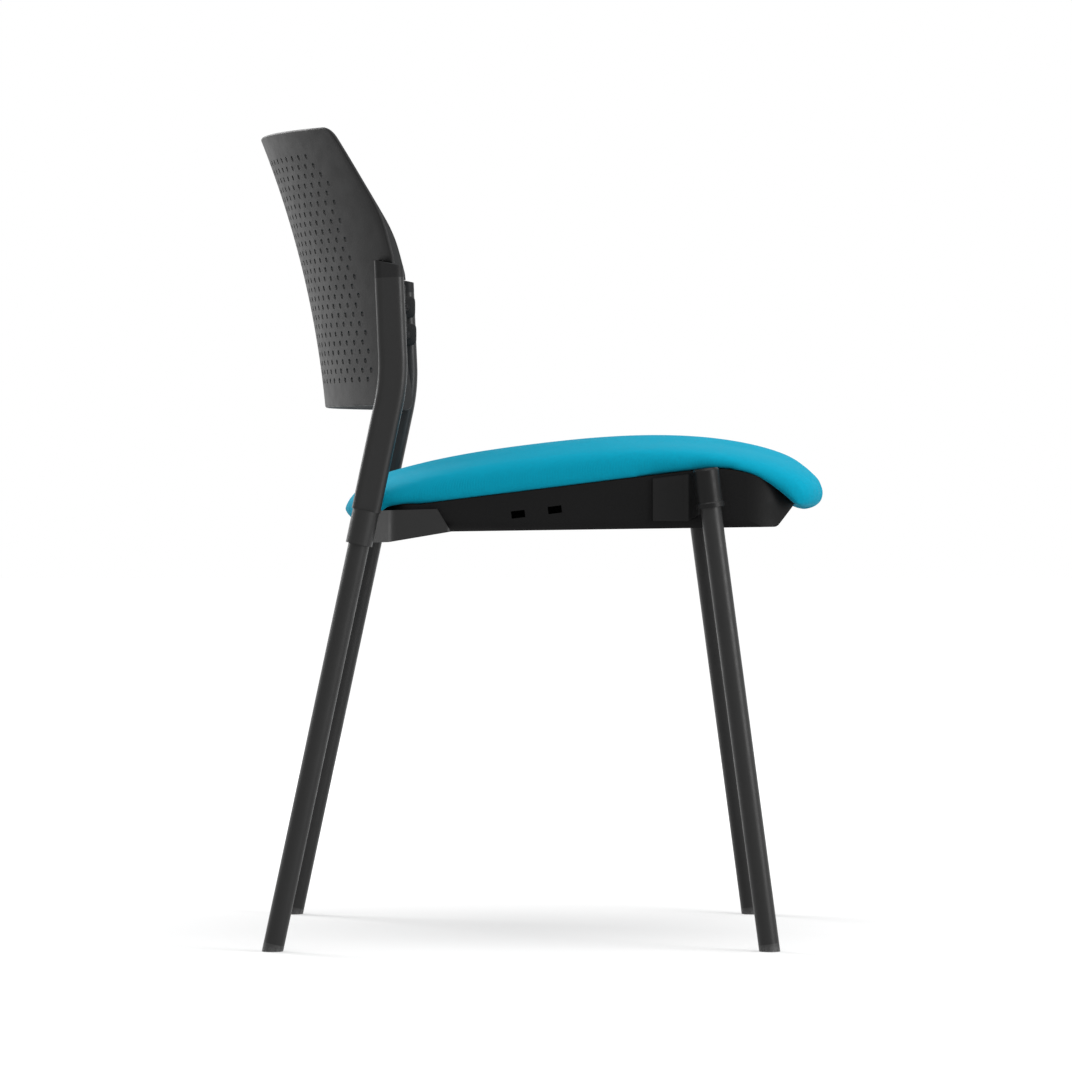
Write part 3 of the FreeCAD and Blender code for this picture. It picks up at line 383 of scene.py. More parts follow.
def shade(tree, colour, value, dark, light):
    """The colour times dark where value is 0 and times light where it is 1."""
    tones = [(*[min(1.0, channel * share) for channel in colour], 1) for share in (dark, light)]
    return blend_colours(tree, value, *tones)


def dress(tree, shader, colour, rough, height, strength, depth):
    """Puts a colour, a roughness and a bump from a height, all sockets, on the shader."""
    tree.links.new(colour, shader.inputs["Base Color"])
    tree.links.new(rough, shader.inputs["Roughness"])
    bump = add_node(tree, "ShaderNodeBump", {"Height": height, "Strength": strength, "Distance": depth})
    tree.links.new(bump.outputs["Normal"], shader.inputs["Normal"])


def moulded_plastic(name, colour, gloss):
    """Matt injection moulding: fine spark grain, faint clouds in tone and gloss."""
    material, tree, shader, place = start_finish(name)
    tone = shade(tree, colour, cloudy(tree, place, 22, 4), 0.86, 1.14)
    rough = spread(tree, cloudy(tree, place, 60, 3), 0.46, 0.58)
    grain = add_node(tree, "ShaderNodeTexVoronoi", {"Vector": place, "Scale": 1100.0},
                     feature="SMOOTH_F1")
    dress(tree, shader, tone, rough, grain.outputs["Distance"], 0.22, 0.0004)
    shader.inputs["Specular IOR Level"].default_value = gloss
    return material


def powder_coat(name, colour, gloss):
    """Baked powder coat on metal: fine orange peel under a thin gloss, slightly cloudy."""
    material, tree, shader, place = start_finish(name)
    tone = shade(tree, colour, cloudy(tree, place, 30, 4), 0.88, 1.12)
    rough = spread(tree, cloudy(tree, place, 90, 3), 0.34, 0.44)
    dress(tree, shader, tone, rough, cloudy(tree, place, 1500, 2), 0.10, 0.0004)
    shader.inputs["Specular IOR Level"].default_value = gloss
    return material


def scuffed_plastic(name, colour):
    """Glide plastic scuffed grey where it rubs on the floor: the lowest millimetres are lighter."""
    material, tree, shader, place = start_finish(name)
    height = add_node(tree, "ShaderNodeSeparateXYZ", {"Vector": place}).outputs["Z"]
    low = spread(tree, height, 1.0, 0.0, 0.0005, 0.006)
    scratches = cloudy(tree, place, 420, 5, 0.7)
    worn = combine(tree, "MULTIPLY", low, spread(tree, scratches, 0.0, 1.0, 0.42, 0.62))
    tone = shade(tree, colour, worn, 1.0, 7.0)
    dress(tree, shader, tone, spread(tree, scratches, 0.42, 0.62), scratches, 0.15, 0.0004)
    return material


def zinc_steel(name, colour):
    """Black zinc-plated steel: crystal clouds in tone and gloss with fine scratches."""
    material, tree, shader, place = start_finish(name)
    flakes = add_node(tree, "ShaderNodeTexVoronoi", {"Vector": place, "Scale": 700.0}).outputs["Color"]
    flake = add_node(tree, "ShaderNodeSeparateColor", {"Color": flakes}).outputs["Red"]
    tone = shade(tree, colour, flake, 0.85, 1.1)
    rough = spread(tree, flake, 0.26, 0.40, 0.0, 1.0)
    dress(tree, shader, tone, rough, cloudy(tree, place, 2500, 4), 0.12, 0.0002)
    shader.inputs["Metallic"].default_value = 1.0
    return material


def birch_plywood(name, colour):
    """Birch plywood: plies as bands in Z, each with long streaks of grain."""
    material, tree, shader, place = start_finish(name)
    plies = add_node(tree, "ShaderNodeTexWave", {"Vector": place, "Scale": 105.0, "Distortion": 0.6},
                     bands_direction="Z").outputs["Fac"]
    stretched = add_node(tree, "ShaderNodeMapping", {"Vector": place, "Scale": (160.0, 9.0, 160.0)})
    grain = cloudy(tree, stretched.outputs["Vector"], 1.0, 5, 0.6)
    tone = blend_colours(tree, plies, shade(tree, colour, grain, 0.75, 1.15),
                         shade(tree, colour, grain, 0.6, 0.95))
    dress(tree, shader, tone, spread(tree, grain, 0.5, 0.7), grain, 0.2, 0.0005)
    return material


def ribs(tree, place, direction, pitch):
    """Sine of the distance along a direction, one wave to the pitch."""
    along = add_node(tree, "ShaderNodeVectorMath", {0: place, 1: direction}, operation="DOT_PRODUCT")
    turns = combine(tree, "MULTIPLY", along.outputs["Value"], 2 * math.pi / pitch)
    return add_node(tree, "ShaderNodeMath", {0: turns}, operation="SINE").outputs[0]


def woven_cloth(name, colour):
    """Plain weave: two crossing sets of ribs multiplied, with lighter and darker yarn and a sheen; the
    colour also follows the weave's height, as painted shade in its hollows and painted highlight on its
    crossings.
    """
    material, tree, shader, place = start_finish(name)
    wobble = add_node(tree, "ShaderNodeTexNoise", {"Vector": place, "Scale": 60.0}).outputs["Color"]
    shift = add_node(tree, "ShaderNodeVectorMath", {0: wobble, "Scale": 0.001}, operation="SCALE")
    bent = add_node(tree, "ShaderNodeVectorMath", {0: place, 1: shift.outputs["Vector"]}, operation="ADD")
    warp = ribs(tree, bent.outputs["Vector"], (1.0, 0.0, 0.9), YARN_PITCH)
    weft = ribs(tree, bent.outputs["Vector"], (0.0, 1.0, 0.9), YARN_PITCH)
    height = spread(tree, combine(tree, "MULTIPLY", warp, weft), 0.0, 1.0, -1.0, 1.0)
    yarn = cloudy(tree, place, 520, 4, 0.65)
    faded = cloudy(tree, place, 16, 3)
    # The tone follows the weave's height: painted shade in its hollows, painted highlight on its crossings,
    # mixed with lighter and darker yarn and faded clouds.
    threads_and_painted_hollow_shade = blend_colours(tree, spread(tree, yarn, 0.0, 1.0), shade(tree, colour, height, 0.76, 1.02),
                            shade(tree, colour, height, 0.90, 1.20))
    worn = blend_colours(tree, spread(tree, faded, 0.0, 0.35), threads_and_painted_hollow_shade,
                         shade(tree, colour, height, 0.86, 1.14))
    dress(tree, shader, worn, spread(tree, yarn, 0.80, 0.95), height, 0.35, 0.0005)
    shader.inputs["Sheen Weight"].default_value = 0.05
    shader.inputs["Sheen Roughness"].default_value = 0.45
    shader.inputs["Sheen Tint"].default_value = (0.55, 0.88, 1.0, 1)
    shader.inputs["Specular IOR Level"].default_value = CLOTH_GLOSS
    return material


def finish_nodes(material, names):
    """Gives solids a finish."""
    for name in names:
        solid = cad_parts[name]
        solid.data.materials.clear()
        solid.data.materials.append(material)


def put_piece(name, points, faces, material):
    """A new smooth-shaded mesh object at the origin, its poles closed, riding on the chair."""
    mesh = bpy.data.meshes.new(name)
    mesh.from_pydata(points.tolist(), [], faces)
    merged = bmesh.new()
    merged.from_mesh(mesh)
    bmesh.ops.remove_doubles(merged, verts=merged.verts, dist=1e-6)
    merged.to_mesh(mesh)
    merged.free()
    mesh.validate()
    mesh.shade_smooth()
    mesh.set_sharp_from_angle(angle=CREASE)
    mesh.materials.append(material)
    piece = bpy.data.objects.new(name, mesh)
    bpy.context.scene.collection.objects.link(piece)
    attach(piece, BODY)
    return piece


def panel_points(sizes, along, height, depth):
    """Points of the doubly bent panel.

    In plan the panel is an arc: a point lies at the plan radius plus depth from a centre, turned by along
    over that radius. Going up, the centre follows the side bend, a larger arc.
    """
    run = sizes.sweep_radius ** 2 - (height - sizes.sweep_z) ** 2
    centre = sizes.sweep_y - np.sqrt(run) - sizes.rear_offset
    turn = along / sizes.plan_radius
    reach = sizes.plan_radius + depth
    return np.stack((reach * np.sin(turn), centre + reach * np.cos(turn), height + 0 * along), axis=-1)


def panel_half_width(sizes, height):
    """Half width of the outline: straight between the uprights, wider above, leaning in past a knee."""
    lean = math.atan2(sizes.half_ear - sizes.half_top, sizes.top_z - sizes.knee_z)
    reach = sizes.knee_radius * math.tan(lean / 2)
    past = np.maximum(height - (sizes.knee_z - reach), 0)
    rise = np.sqrt(np.maximum(sizes.knee_radius ** 2 - past ** 2, 0))
    bend = sizes.half_ear - sizes.knee_radius + rise
    straight = sizes.half_ear - (height - sizes.knee_z) * math.tan(lean)
    upper = np.where(height < sizes.knee_z + reach * math.cos(lean), bend, straight)
    return np.where(height > sizes.shoulder_z, upper, sizes.half_low)


def panel_rows(sizes):
    """Grid rows from the top: heights, half widths, border heights, bend powers, first hole row.

    The border is the outline drawn in by the edge's round. Its upper and lower corners are arcs. The ear's
    lower edge falls outwards, so the row above it runs level and bends down only near the border.
    """
    edge = sizes.half_thick
    lean = math.atan2(sizes.half_ear - sizes.half_top, sizes.top_z - sizes.knee_z)
    turn = np.linspace(math.pi / 2, lean, 8)
    top_z = sizes.top_z - sizes.top_corner + (sizes.top_corner - edge) * np.sin(turn)
    top_x = (sizes.half_top - sizes.top_corner * math.tan((math.pi / 2 - lean) / 2)
             + (sizes.top_corner - edge) * np.cos(turn))
    field = sizes.first_row_z + sizes.row_pitch / 2 - sizes.row_pitch / 4 * np.arange(sizes.rows * 4 + 1)
    turn = np.linspace(0, math.pi / 2, 8)
    low_z = sizes.low_z + sizes.low_corner - (sizes.low_corner - edge) * np.sin(turn)
    low_x = sizes.half_low - sizes.low_corner + (sizes.low_corner - edge) * np.cos(turn)
    above = np.linspace(top_z[-1], field[0], 6)[1:-1]
    below = np.linspace(field[-1], low_z[0], 5)[1:-1]
    middle = np.concatenate((above, field, below))
    rows = np.concatenate((top_z, middle, low_z))
    half = np.concatenate((top_x, panel_half_width(sizes, middle) - edge, low_x))
    border = rows.copy()
    step = int(np.argmax(rows < sizes.shoulder_z + edge))
    border[step] = sizes.shoulder_z + edge
    half[step] = sizes.half_low - edge
    border[step - 1] = sizes.shoulder_z - sizes.ear_fall + edge
    half[step - 1] = sizes.half_ear - edge * 1.3
    power = np.where(np.arange(len(rows)) == step - 1, 4, 1)
    return rows, half, border, power, len(top_z) + len(above)


def panel_grid(sizes):
    """Along and height over rows and columns: even columns over the holes, then six to each border."""
    rows, half, border, power, first = panel_rows(sizes)
    count = sizes.half_rows * 4
    inner = sizes.hole_pitch / 4 * np.arange(-count, count + 1)
    share = np.linspace(0, 1, 7)[1:]
    reach = sizes.plan_radius * np.arcsin(half / sizes.plan_radius)
    outer = inner[-1] + (reach[:, None] - inner[-1]) * share
    outer_z = rows[:, None] + (border - rows)[:, None] * share ** power[:, None]
    along = np.concatenate((-outer[:, ::-1], np.tile(inner, (len(rows), 1)), outer), axis=1)
    height = np.concatenate((outer_z[:, ::-1], np.tile(rows[:, None], (1, len(inner))), outer_z), axis=1)
    return along, height, first, len(share)


def hole_corners(sizes, first_row, first_column):
    """Upper left grid node of each hole's four by four cells; every other row is half a pitch aside."""
    line, place = np.meshgrid(np.arange(sizes.rows), np.arange(sizes.half_rows * 2), indexing="ij")
    odd = line % 2
    column = first_column + place * 4 + np.where(odd == 1, 0, 2)
    across = (place + np.where(odd == 1, 0.5, 1.0) - sizes.half_rows) * sizes.hole_pitch
    level = sizes.first_row_z - line * sizes.row_pitch
    reach = sizes.half_rows * sizes.hole_pitch - sizes.hole_pitch / 4
    over = np.maximum(np.abs(across) - (reach - sizes.field_corner), 0)
    up = np.maximum(level - (sizes.first_row_z + sizes.row_pitch / 4 - sizes.field_corner), 0)
    kept = (np.hypot(over, up) <= sizes.field_corner) & (np.abs(across) < reach)
    return first_row + line[kept] * 4, column[kept], across[kept], level[kept]


def perforated_panel(sizes):
    """Points and faces of the panel: two sheets with ringed holes, hole walls and a half-round edge."""
    along, height, first_row, first_column = panel_grid(sizes)
    lines, columns = along.shape
    number = np.arange(lines * columns).reshape(lines, columns)
    row, column, across, level = hole_corners(sizes, first_row, first_column)
    block_row = np.array([0, 0, 0, 0, 0, 1, 2, 3, 4, 4, 4, 4, 4, 3, 2, 1])
    block_column = np.array([0, 1, 2, 3, 4, 4, 4, 4, 4, 3, 2, 1, 0, 0, 0, 0])
    rim = number[row[:, None] + block_row, column[:, None] + block_column]
    angle = np.radians(135 - 360 / HOLE_POINTS * np.arange(HOLE_POINTS))
    radius = np.array([sizes.hole_radius, sizes.hole_radius + sizes.hole_draft])[:, None, None]
    hole_along = across[:, None] + radius * np.cos(angle)
    hole_height = level[:, None] + radius * np.sin(angle)
    solid = np.ones((lines - 1, columns - 1), bool)
    cell_row = row[:, None, None] + np.arange(4)[None, :, None] + np.zeros((1, 1, 4), int)
    cell_column = column[:, None, None] + np.arange(4)[None, None, :] + np.zeros((1, 4, 1), int)
    solid[cell_row, cell_column] = False
    cells = np.stack((number[:-1, :-1], number[:-1, 1:], number[1:, 1:], number[1:, :-1]), axis=-1)[solid]

    thick = sizes.half_thick
    total = lines * columns
    circle = 2 * total + np.arange(len(row) * HOLE_POINTS).reshape(-1, HOLE_POINTS)
    far_circle = circle + circle.size
    next_rim = np.roll(rim, -1, 1)
    next_circle = np.roll(circle, -1, 1)
    next_far = np.roll(far_circle, -1, 1)
    ring = np.stack((rim, next_rim, next_circle, circle), axis=-1).reshape(-1, 4)
    far_ring = np.stack((rim + total, far_circle, next_far, next_rim + total), axis=-1).reshape(-1, 4)
    walls = np.stack((circle, next_circle, next_far, far_circle), axis=-1).reshape(-1, 4)

    loop = np.concatenate((number[0], number[1:, -1], number[-1, -2::-1], number[-2:0:-1, 0]))
    line = np.stack((along.ravel()[loop], height.ravel()[loop]), axis=-1)
    out = edge_directions(line)
    edge_line = line + out * (thick * np.cos(EDGE_TURNS))[:, None, None]
    edge_depth = thick * np.sin(EDGE_TURNS)[:, None] + np.zeros(len(loop))
    round_off = 2 * total + 2 * circle.size + np.arange(edge_depth.size).reshape(edge_depth.shape)
    edges = np.concatenate((loop[None], round_off, loop[None] + total))
    near, far = edges[:-1], edges[1:]
    border = np.stack((near, far, np.roll(far, -1, 1), np.roll(near, -1, 1)), axis=-1).reshape(-1, 4)

    points = np.concatenate((
        panel_points(sizes, along.ravel(), height.ravel(), thick),
        panel_points(sizes, along.ravel(), height.ravel(), -thick),
        panel_points(sizes, hole_along[0].ravel(), hole_height[0].ravel(), thick),
        panel_points(sizes, hole_along[1].ravel(), hole_height[1].ravel(), -thick),
        panel_points(sizes, edge_line[..., 0].ravel(), edge_line[..., 1].ravel(), edge_depth.ravel()),
    ))
    faces = np.concatenate((cells, cells[:, ::-1] + total, ring, far_ring, walls, border))
    used, faces = np.unique(faces, return_inverse=True)
    return points[used], faces.reshape(-1, 4)


def edge_directions(line):
    """Outward directions along a closed clockwise line: its mean direction, a quarter turn to the left."""
    ahead = np.roll(line, -1, 0) - line
    ahead = ahead / np.linalg.norm(ahead, axis=1, keepdims=True)
    travel = ahead + np.roll(ahead, 1, 0)
    travel = travel / np.linalg.norm(travel, axis=1, keepdims=True)
    return np.stack((-travel[:, 1], travel[:, 0]), axis=-1)


def lug_plates(centres, size, inner, outer):
    """Rounded plates by the uprights: superellipse loops of power 5 in Y and Z, carried along X."""
    turn = np.linspace(0, 2 * math.pi, 40, endpoint=False)
    loop_y = np.sign(np.cos(turn)) * np.abs(np.cos(turn)) ** 0.4 * size[0] / 2
    loop_z = np.sign(np.sin(turn)) * np.abs(np.sin(turn)) ** 0.4 * size[1] / 2
    share = np.array([0.0, 0.9, 0.97, 1.0, 1.0, 0.97, 0.9, 0.0])
    x = np.array([0, 0, 0.06, 0.2, 0.8, 0.94, 1, 1]) * (outer - inner) + inner
    centre = np.array(centres)
    shape = (len(centre), len(share), len(turn))
    points = np.stack((
        np.broadcast_to(x[None, :, None], shape),
        np.broadcast_to(centre[:, 0, None, None] + share[:, None] * loop_y, shape),
        np.broadcast_to(centre[:, 1, None, None] + share[:, None] * loop_z, shape),
    ), axis=-1)
    number = np.arange(points[..., 0].size).reshape(shape)
    near, far = number[:, :-1], number[:, 1:]
    faces = np.stack((near, np.roll(near, -1, 2), np.roll(far, -1, 2), far), axis=-1).reshape(-1, 4)
    return points.reshape(-1, 3), faces


class ChairFrameFinish(bpy.types.Operator):
    """Powder coat on the legs, uprights and brackets, a darker copy on the front brackets as painted shade
    under the seat pad
    """

    bl_idname = "chair.frame_finish"
    bl_label = "Tube frame finish"

    def execute(self, context):
        finishes = context.scene.chair_finishes
        finish_nodes(powder_coat("leg_coat", finishes.coat, COAT_GLOSS),
                     [f"{end}_leg_{side}" for end in ("rear", "front") for side in SIDES])
        finish_nodes(powder_coat("upright_coat", finishes.coat, COAT_GLOSS),
                     [f"back_upright_{side}" for side in SIDES])
        finish_nodes(powder_coat("bracket_coat", finishes.coat, COAT_GLOSS),
                     [f"rear_bracket_{side}" for side in SIDES])
        # The front brackets get the darker copy of the coat, as painted shade from the pad's overhang.
        finish_nodes(powder_coat("socket_coat", finishes.socket, SOCKET_GLOSS),
                     [f"front_bracket_{side}" for side in SIDES])
        return {"FINISHED"}


class ChairMouldings(bpy.types.Operator):
    """Grained plastic on the seat pan, darker there partly as painted shade, and on the upright caps;
    scuffed plastic on the glides
    """

    bl_idname = "chair.mouldings"
    bl_label = "Pan, caps and glides"

    def execute(self, context):
        finishes = context.scene.chair_finishes
        # The pan's darker charcoal is partly its own colour and partly painted shade from the pad above.
        finish_nodes(moulded_plastic("pan_plastic", finishes.pan, PAN_GLOSS), ["seat_pan"])
        finish_nodes(moulded_plastic("cap_plastic", finishes.plastic, CAP_GLOSS), ["upright_caps"])
        finish_nodes(scuffed_plastic("glide_plastic", finishes.glide), ["floor_glides"])
        return {"FINISHED"}


class ChairHiddenPieces(bpy.types.Operator):
    """Black zinc on the screws and inserts, birch on the seat board"""

    bl_idname = "chair.hidden_pieces"
    bl_label = "Screws and seat board"

    def execute(self, context):
        finishes = context.scene.chair_finishes
        finish_nodes(zinc_steel("screw_steel", finishes.steel),
                     ["seat_screws", "seat_inserts", "bracket_bolts", "leg_screws", "back_screws"])
        finish_nodes(birch_plywood("seat_plywood", finishes.plywood), ["seat_board"])
        return {"FINISHED"}


class ChairBack(bpy.types.Operator):
    """The perforated back panel with its four screw lugs"""

    bl_idname = "chair.back"
    bl_label = "Perforated back"

    def execute(self, context):
        sizes = context.scene.chair_back
        points, faces = perforated_panel(sizes)
        inner, outer = LUG_SIDES
        for low, high in ((inner, outer), (-outer, -inner)):
            lug_points, lug_faces = lug_plates(LUG_CENTRES, LUG_SIZE, low, high)
            faces = np.concatenate((faces, lug_faces + len(points)))
            points = np.concatenate((points, lug_points))
        material = moulded_plastic("back_plastic", context.scene.chair_finishes.plastic, BACK_GLOSS)
        piece = put_piece("perforated_back", points, faces.tolist(), material)
        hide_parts("back_panel")
        return {"FINISHED"}


def rim_height(sizes, y):
    """Height of the pan's rim: level at the rear, a straight rise, a round peak, a steep fall in front."""
    rise = (sizes.rim_peak_z - sizes.rim_level) / (sizes.rim_knee - sizes.rim_peak_y)
    climb = math.atan(rise)
    reach = sizes.rim_radius * math.tan((RIM_FALL + climb) / 2)
    start_y = sizes.rim_peak_y + reach * math.cos(climb)
    start_z = sizes.rim_peak_z - reach * math.sin(climb)
    centre_y = start_y - sizes.rim_radius * math.sin(climb)
    centre_z = start_z - sizes.rim_radius * math.cos(climb)
    slope = np.minimum(sizes.rim_level + np.maximum(sizes.rim_knee - y, 0) * rise, sizes.rim_peak_z)
    peak = centre_z + np.sqrt(np.maximum(sizes.rim_radius ** 2 - (y - centre_y) ** 2, 0))
    ahead = sizes.rim_peak_z - (sizes.rim_peak_y - y) * math.tan(RIM_FALL)
    end_y = sizes.rim_peak_y - reach * math.cos(RIM_FALL)
    return np.where(y > start_y, slope, np.where(y > end_y, peak, ahead))


def pan_distance(sizes, x, y):
    """Distance outside the pan's plan, a rectangle with round corners; less than zero inside."""
    middle = (sizes.pan_front + sizes.pan_rear) / 2
    radius = np.where(y < middle, PAN_CORNER_FRONT, PAN_CORNER_REAR)
    across = np.abs(x) - sizes.pan_half + radius
    ahead = np.abs(y - middle) - (sizes.pan_rear - sizes.pan_front) / 2 + radius
    outside = np.hypot(np.maximum(across, 0), np.maximum(ahead, 0))
    return outside + np.minimum(np.maximum(across, ahead), 0) - radius


def pad_underside(sizes, x, y):
    """Lowest height of the pad: on the rim over the pan, a lip below it outside, clear of brackets."""
    rim = rim_height(sizes, y)
    over_bracket = sizes.bracket_top - np.maximum(np.abs(y - sizes.bracket_y) - BRACKET_REACH, 0)
    room = np.where(np.abs(x) > sizes.pan_half - BRACKET_INSET, over_bracket, 0)
    beside = np.maximum(rim - sizes.lip, room)
    on_pan = np.where(pan_distance(sizes, x, y) < RIM_REACH, rim + RIM_GAP, beside)
    return np.where((y > sizes.pan_front) & (y < sizes.pan_rear), on_pan, END_LOW)


def spline_weights(knots, count):
    """Weights that carry control values to count points on the natural cubic spline through them."""
    size = len(knots)
    gap = np.diff(knots)
    system = np.eye(size)
    right = np.zeros((size, size))
    inside = np.arange(1, size - 1)
    system[inside, inside - 1] = gap[:-1]
    system[inside, inside] = 2 * (gap[:-1] + gap[1:])
    system[inside, inside + 1] = gap[1:]
    right[inside, inside - 1] = 6 / gap[:-1]
    right[inside, inside] = -6 / gap[:-1] - 6 / gap[1:]
    right[inside, inside + 1] = 6 / gap[1:]
    bend = np.linalg.solve(system, right)
    at = np.linspace(knots[0], knots[-1], count)
    span = np.clip(np.searchsorted(knots, at, side="right") - 1, 0, size - 2)
    width = gap[span]
    near = (knots[span + 1] - at) / width
    far = 1 - near
    flat = np.eye(size)
    weights = near[:, None] * flat[span] + far[:, None] * flat[span + 1]
    weights += ((near ** 3 - near) * width ** 2 / 6)[:, None] * bend[span]
    weights += ((far ** 3 - far) * width ** 2 / 6)[:, None] * bend[span + 1]
    return weights


def pad_surface(sizes):
    """Points and faces of the crowned pad before it swells.

    At each share of the half width, a natural spline runs from the front lip over the crown to the rear
    nose; the underside follows the rim. Towards the sides the top falls and both ends draw back by
    1 - (1 - share^4)^(1/4).
    """
    inset = sizes.start_inset
    line = np.array([
        (-0.2580, 0.4210), (-0.2720, 0.4180), (-0.2822, 0.4275), (-0.2826, 0.4400), (-0.2575, 0.4635),
        (-0.2130, 0.4788), (-0.1150, 0.4885), (0.0000, 0.4800), (0.0900, 0.4660), (0.1560, 0.4480),
        (0.1820, 0.4330), (0.1895, 0.4180), (0.1780, 0.4050), (0.1640, 0.4015), (0.1515, 0.4030),
    ])
    end_share = np.array([1, 1, 1, 1, 0.85, 0.55, 0.1, 0, -0.1, -0.6, -0.95, -1, -1, -1, -1])
    drop_share = np.array([0, 0, 0.1, 0.3, 0.75, 1, 1, 1, 1, 0.8, 0.4, 0.15, 0, 0, 0])
    drawn_in = np.array([
        (0.3, 0.6), (0.6, 1), (1, 0.6), (1, 0.1), (0.7, -0.7), (0.35, -0.94), (0, -1), (0, -1),
        (-0.1, -1), (-0.4, -0.9), (-0.8, -0.6), (-1, 0), (-0.6, 0.8), (-0.2, 1), (0.2, 0.8),
    ])
    line = line + inset * drawn_in
    knots = np.concatenate(([0], np.cumsum(np.linalg.norm(np.diff(line, axis=0), axis=1))))
    weights = spline_weights(knots, TOP_POINTS)
    tau = np.linspace(-1, 1, SECTIONS)
    share = np.sign(tau) * (1 - (1 - np.abs(tau)) ** 2.6)
    round_off = 1 - (1 - share ** 4) ** 0.25
    y = line[:, 0] + sizes.corner_depth * round_off[:, None] * end_share
    z = line[:, 1] - sizes.side_drop * round_off[:, None] * drop_share
    top_y = y @ weights.T
    top_z = z @ weights.T
    under = np.linspace(0, 1, UNDER_POINTS + 2)[1:-1]
    under_y = top_y[:, -1:] + (top_y[:, :1] - top_y[:, -1:]) * under
    loop_y = np.concatenate((top_y, under_y), axis=1)
    under_z = np.where(under_y < sizes.pan_front, top_z[:, :1], 0)
    loop_z = np.concatenate((top_z, under_z), axis=1)
    loop_x = np.broadcast_to((share * (sizes.half_width - inset))[:, None], loop_y.shape)
    loop_z = np.maximum(loop_z, pad_underside(sizes, loop_x, loop_y))
    points = np.stack((loop_x, loop_y, loop_z), axis=-1)
    number = np.arange(loop_y.size).reshape(loop_y.shape)
    near, far = number[:-1], number[1:]
    quads = np.stack((near, np.roll(near, -1, 1), np.roll(far, -1, 1), far), axis=-1).reshape(-1, 4)
    faces = quads.tolist() + [number[0, ::-1].tolist(), number[-1].tolist()]
    return points.reshape(-1, 3), faces


def mesh_points(mesh):
    """A mesh's points as an array."""
    points = np.empty(len(mesh.vertices) * 3, np.float32)
    mesh.vertices.foreach_get("co", points)
    return points.reshape(-1, 3)


def take_result(piece):
    """Puts what the piece's modifiers make into its own mesh and removes them."""
    bpy.context.view_layer.update()
    made = piece.evaluated_get(bpy.context.evaluated_depsgraph_get())
    mesh = bpy.data.meshes.new_from_object(made)
    piece.modifiers.clear()
    piece.data = mesh


def even_mesh(piece, spacing):
    """Remeshes a closed piece to an even grid."""
    grid = piece.modifiers.new("even grid", "REMESH")
    grid.mode = "VOXEL"
    grid.voxel_size = spacing
    take_result(piece)


def settle_edge(mesh, sizes):
    """Lifts points by the rim's height and puts those near the underside onto it: its edge runs clean."""
    points = mesh_points(mesh)
    points[:, 2] += rim_height(sizes, points[:, 1])
    under = pad_underside(sizes, points[:, 0], points[:, 1])
    near = np.abs(points[:, 2] - under) < sizes.voxel * SETTLE_SHARE
    points[:, 2] = np.where(near, under, points[:, 2])
    mesh.vertices.foreach_set("co", points.ravel())
    mesh.update()


def smooth_over(mesh, amount, rounds):
    """Averages an amount over each point's neighbours, several times, as a taut cover evens out."""
    ends = np.empty(len(mesh.edges) * 2, np.int32)
    mesh.edges.foreach_get("vertices", ends)
    first, second = ends.reshape(-1, 2).T
    count = np.bincount(ends, minlength=len(amount))
    for turn in range(rounds):
        around = np.bincount(first, amount[second], len(amount))
        around += np.bincount(second, amount[first], len(amount))
        amount = (amount + around / np.maximum(count, 1)) / 2
    return amount


def swell(piece, sizes):
    """Cloth with pressure inside and no gravity: the cover bulges out, held where it lies on the rim.

    Each point keeps the outward share of its movement, up to a limit, evened out over its neighbours.
    """
    start = mesh_points(piece.data)
    floor = rim_height(sizes, start[:, 1])
    y, z = start[:, 1], start[:, 2]
    over_pan = (y > sizes.pan_front - HELD_MARGIN) & (y < sizes.pan_rear + HELD_MARGIN)
    held = (over_pan & (z < floor + HELD_RISE)) | (z < HELD_LOW)
    group = piece.vertex_groups.new(name="held")
    group.add(np.flatnonzero(held).tolist(), 1.0, "REPLACE")
    cloth = piece.modifiers.new("swell", "CLOTH")
    cloth.settings.vertex_group_mass = "held"
    cloth.settings.use_pressure = True
    cloth.settings.uniform_pressure_force = sizes.pressure
    cloth.settings.effector_weights.gravity = 0.0
    cloth.settings.quality = CLOTH_QUALITY
    cloth.settings.mass = sizes.cover_mass
    scene = bpy.context.scene
    for step in range(1, CLOTH_STEPS + 1):
        scene.frame_set(step)
    normals = np.empty(len(piece.data.vertices) * 3, np.float32)
    piece.data.vertex_normals.foreach_get("vector", normals)
    normals = normals.reshape(-1, 3)
    take_result(piece)
    scene.frame_set(1)
    outward = np.sum((mesh_points(piece.data) - start) * normals, axis=1)
    outward = np.where(held, 0, np.clip(outward, 0, sizes.swell_limit))
    outward = smooth_over(piece.data, outward, EVEN_ROUNDS)
    moved = start + normals * outward[:, None]
    piece.data.vertices.foreach_set("co", moved.astype(np.float32).ravel())
    piece.data.update()
    piece.vertex_groups.clear()


class ChairSeat(bpy.types.Operator):
    """The padded seat in its woven cover"""

    bl_idname = "chair.seat"
    bl_label = "Padded seat"

    def execute(self, context):
        sizes = context.scene.chair_pad
        material = woven_cloth("seat_fabric", context.scene.chair_finishes.fabric)
        points, faces = pad_surface(sizes)
        # Lowered by the rim's height, the underside is level and the even grid runs along its edge.
        points[:, 2] -= rim_height(sizes, points[:, 1])
        piece = put_piece("seat_pad", points, faces, material)
        even_mesh(piece, sizes.voxel)
        settle_edge(piece.data, sizes)
        swell(piece, sizes)
        even_out = piece.modifiers.new("even out", "CORRECTIVE_SMOOTH")
        even_out.iterations = 2
        even_out.use_only_smooth = True
        finer = piece.modifiers.new("finer", "SUBSURF")
        finer.levels = 1
        finer.render_levels = 1
        piece.data.shade_smooth()
        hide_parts("seat_cover", "seat_foam")
        return {"FINISHED"}


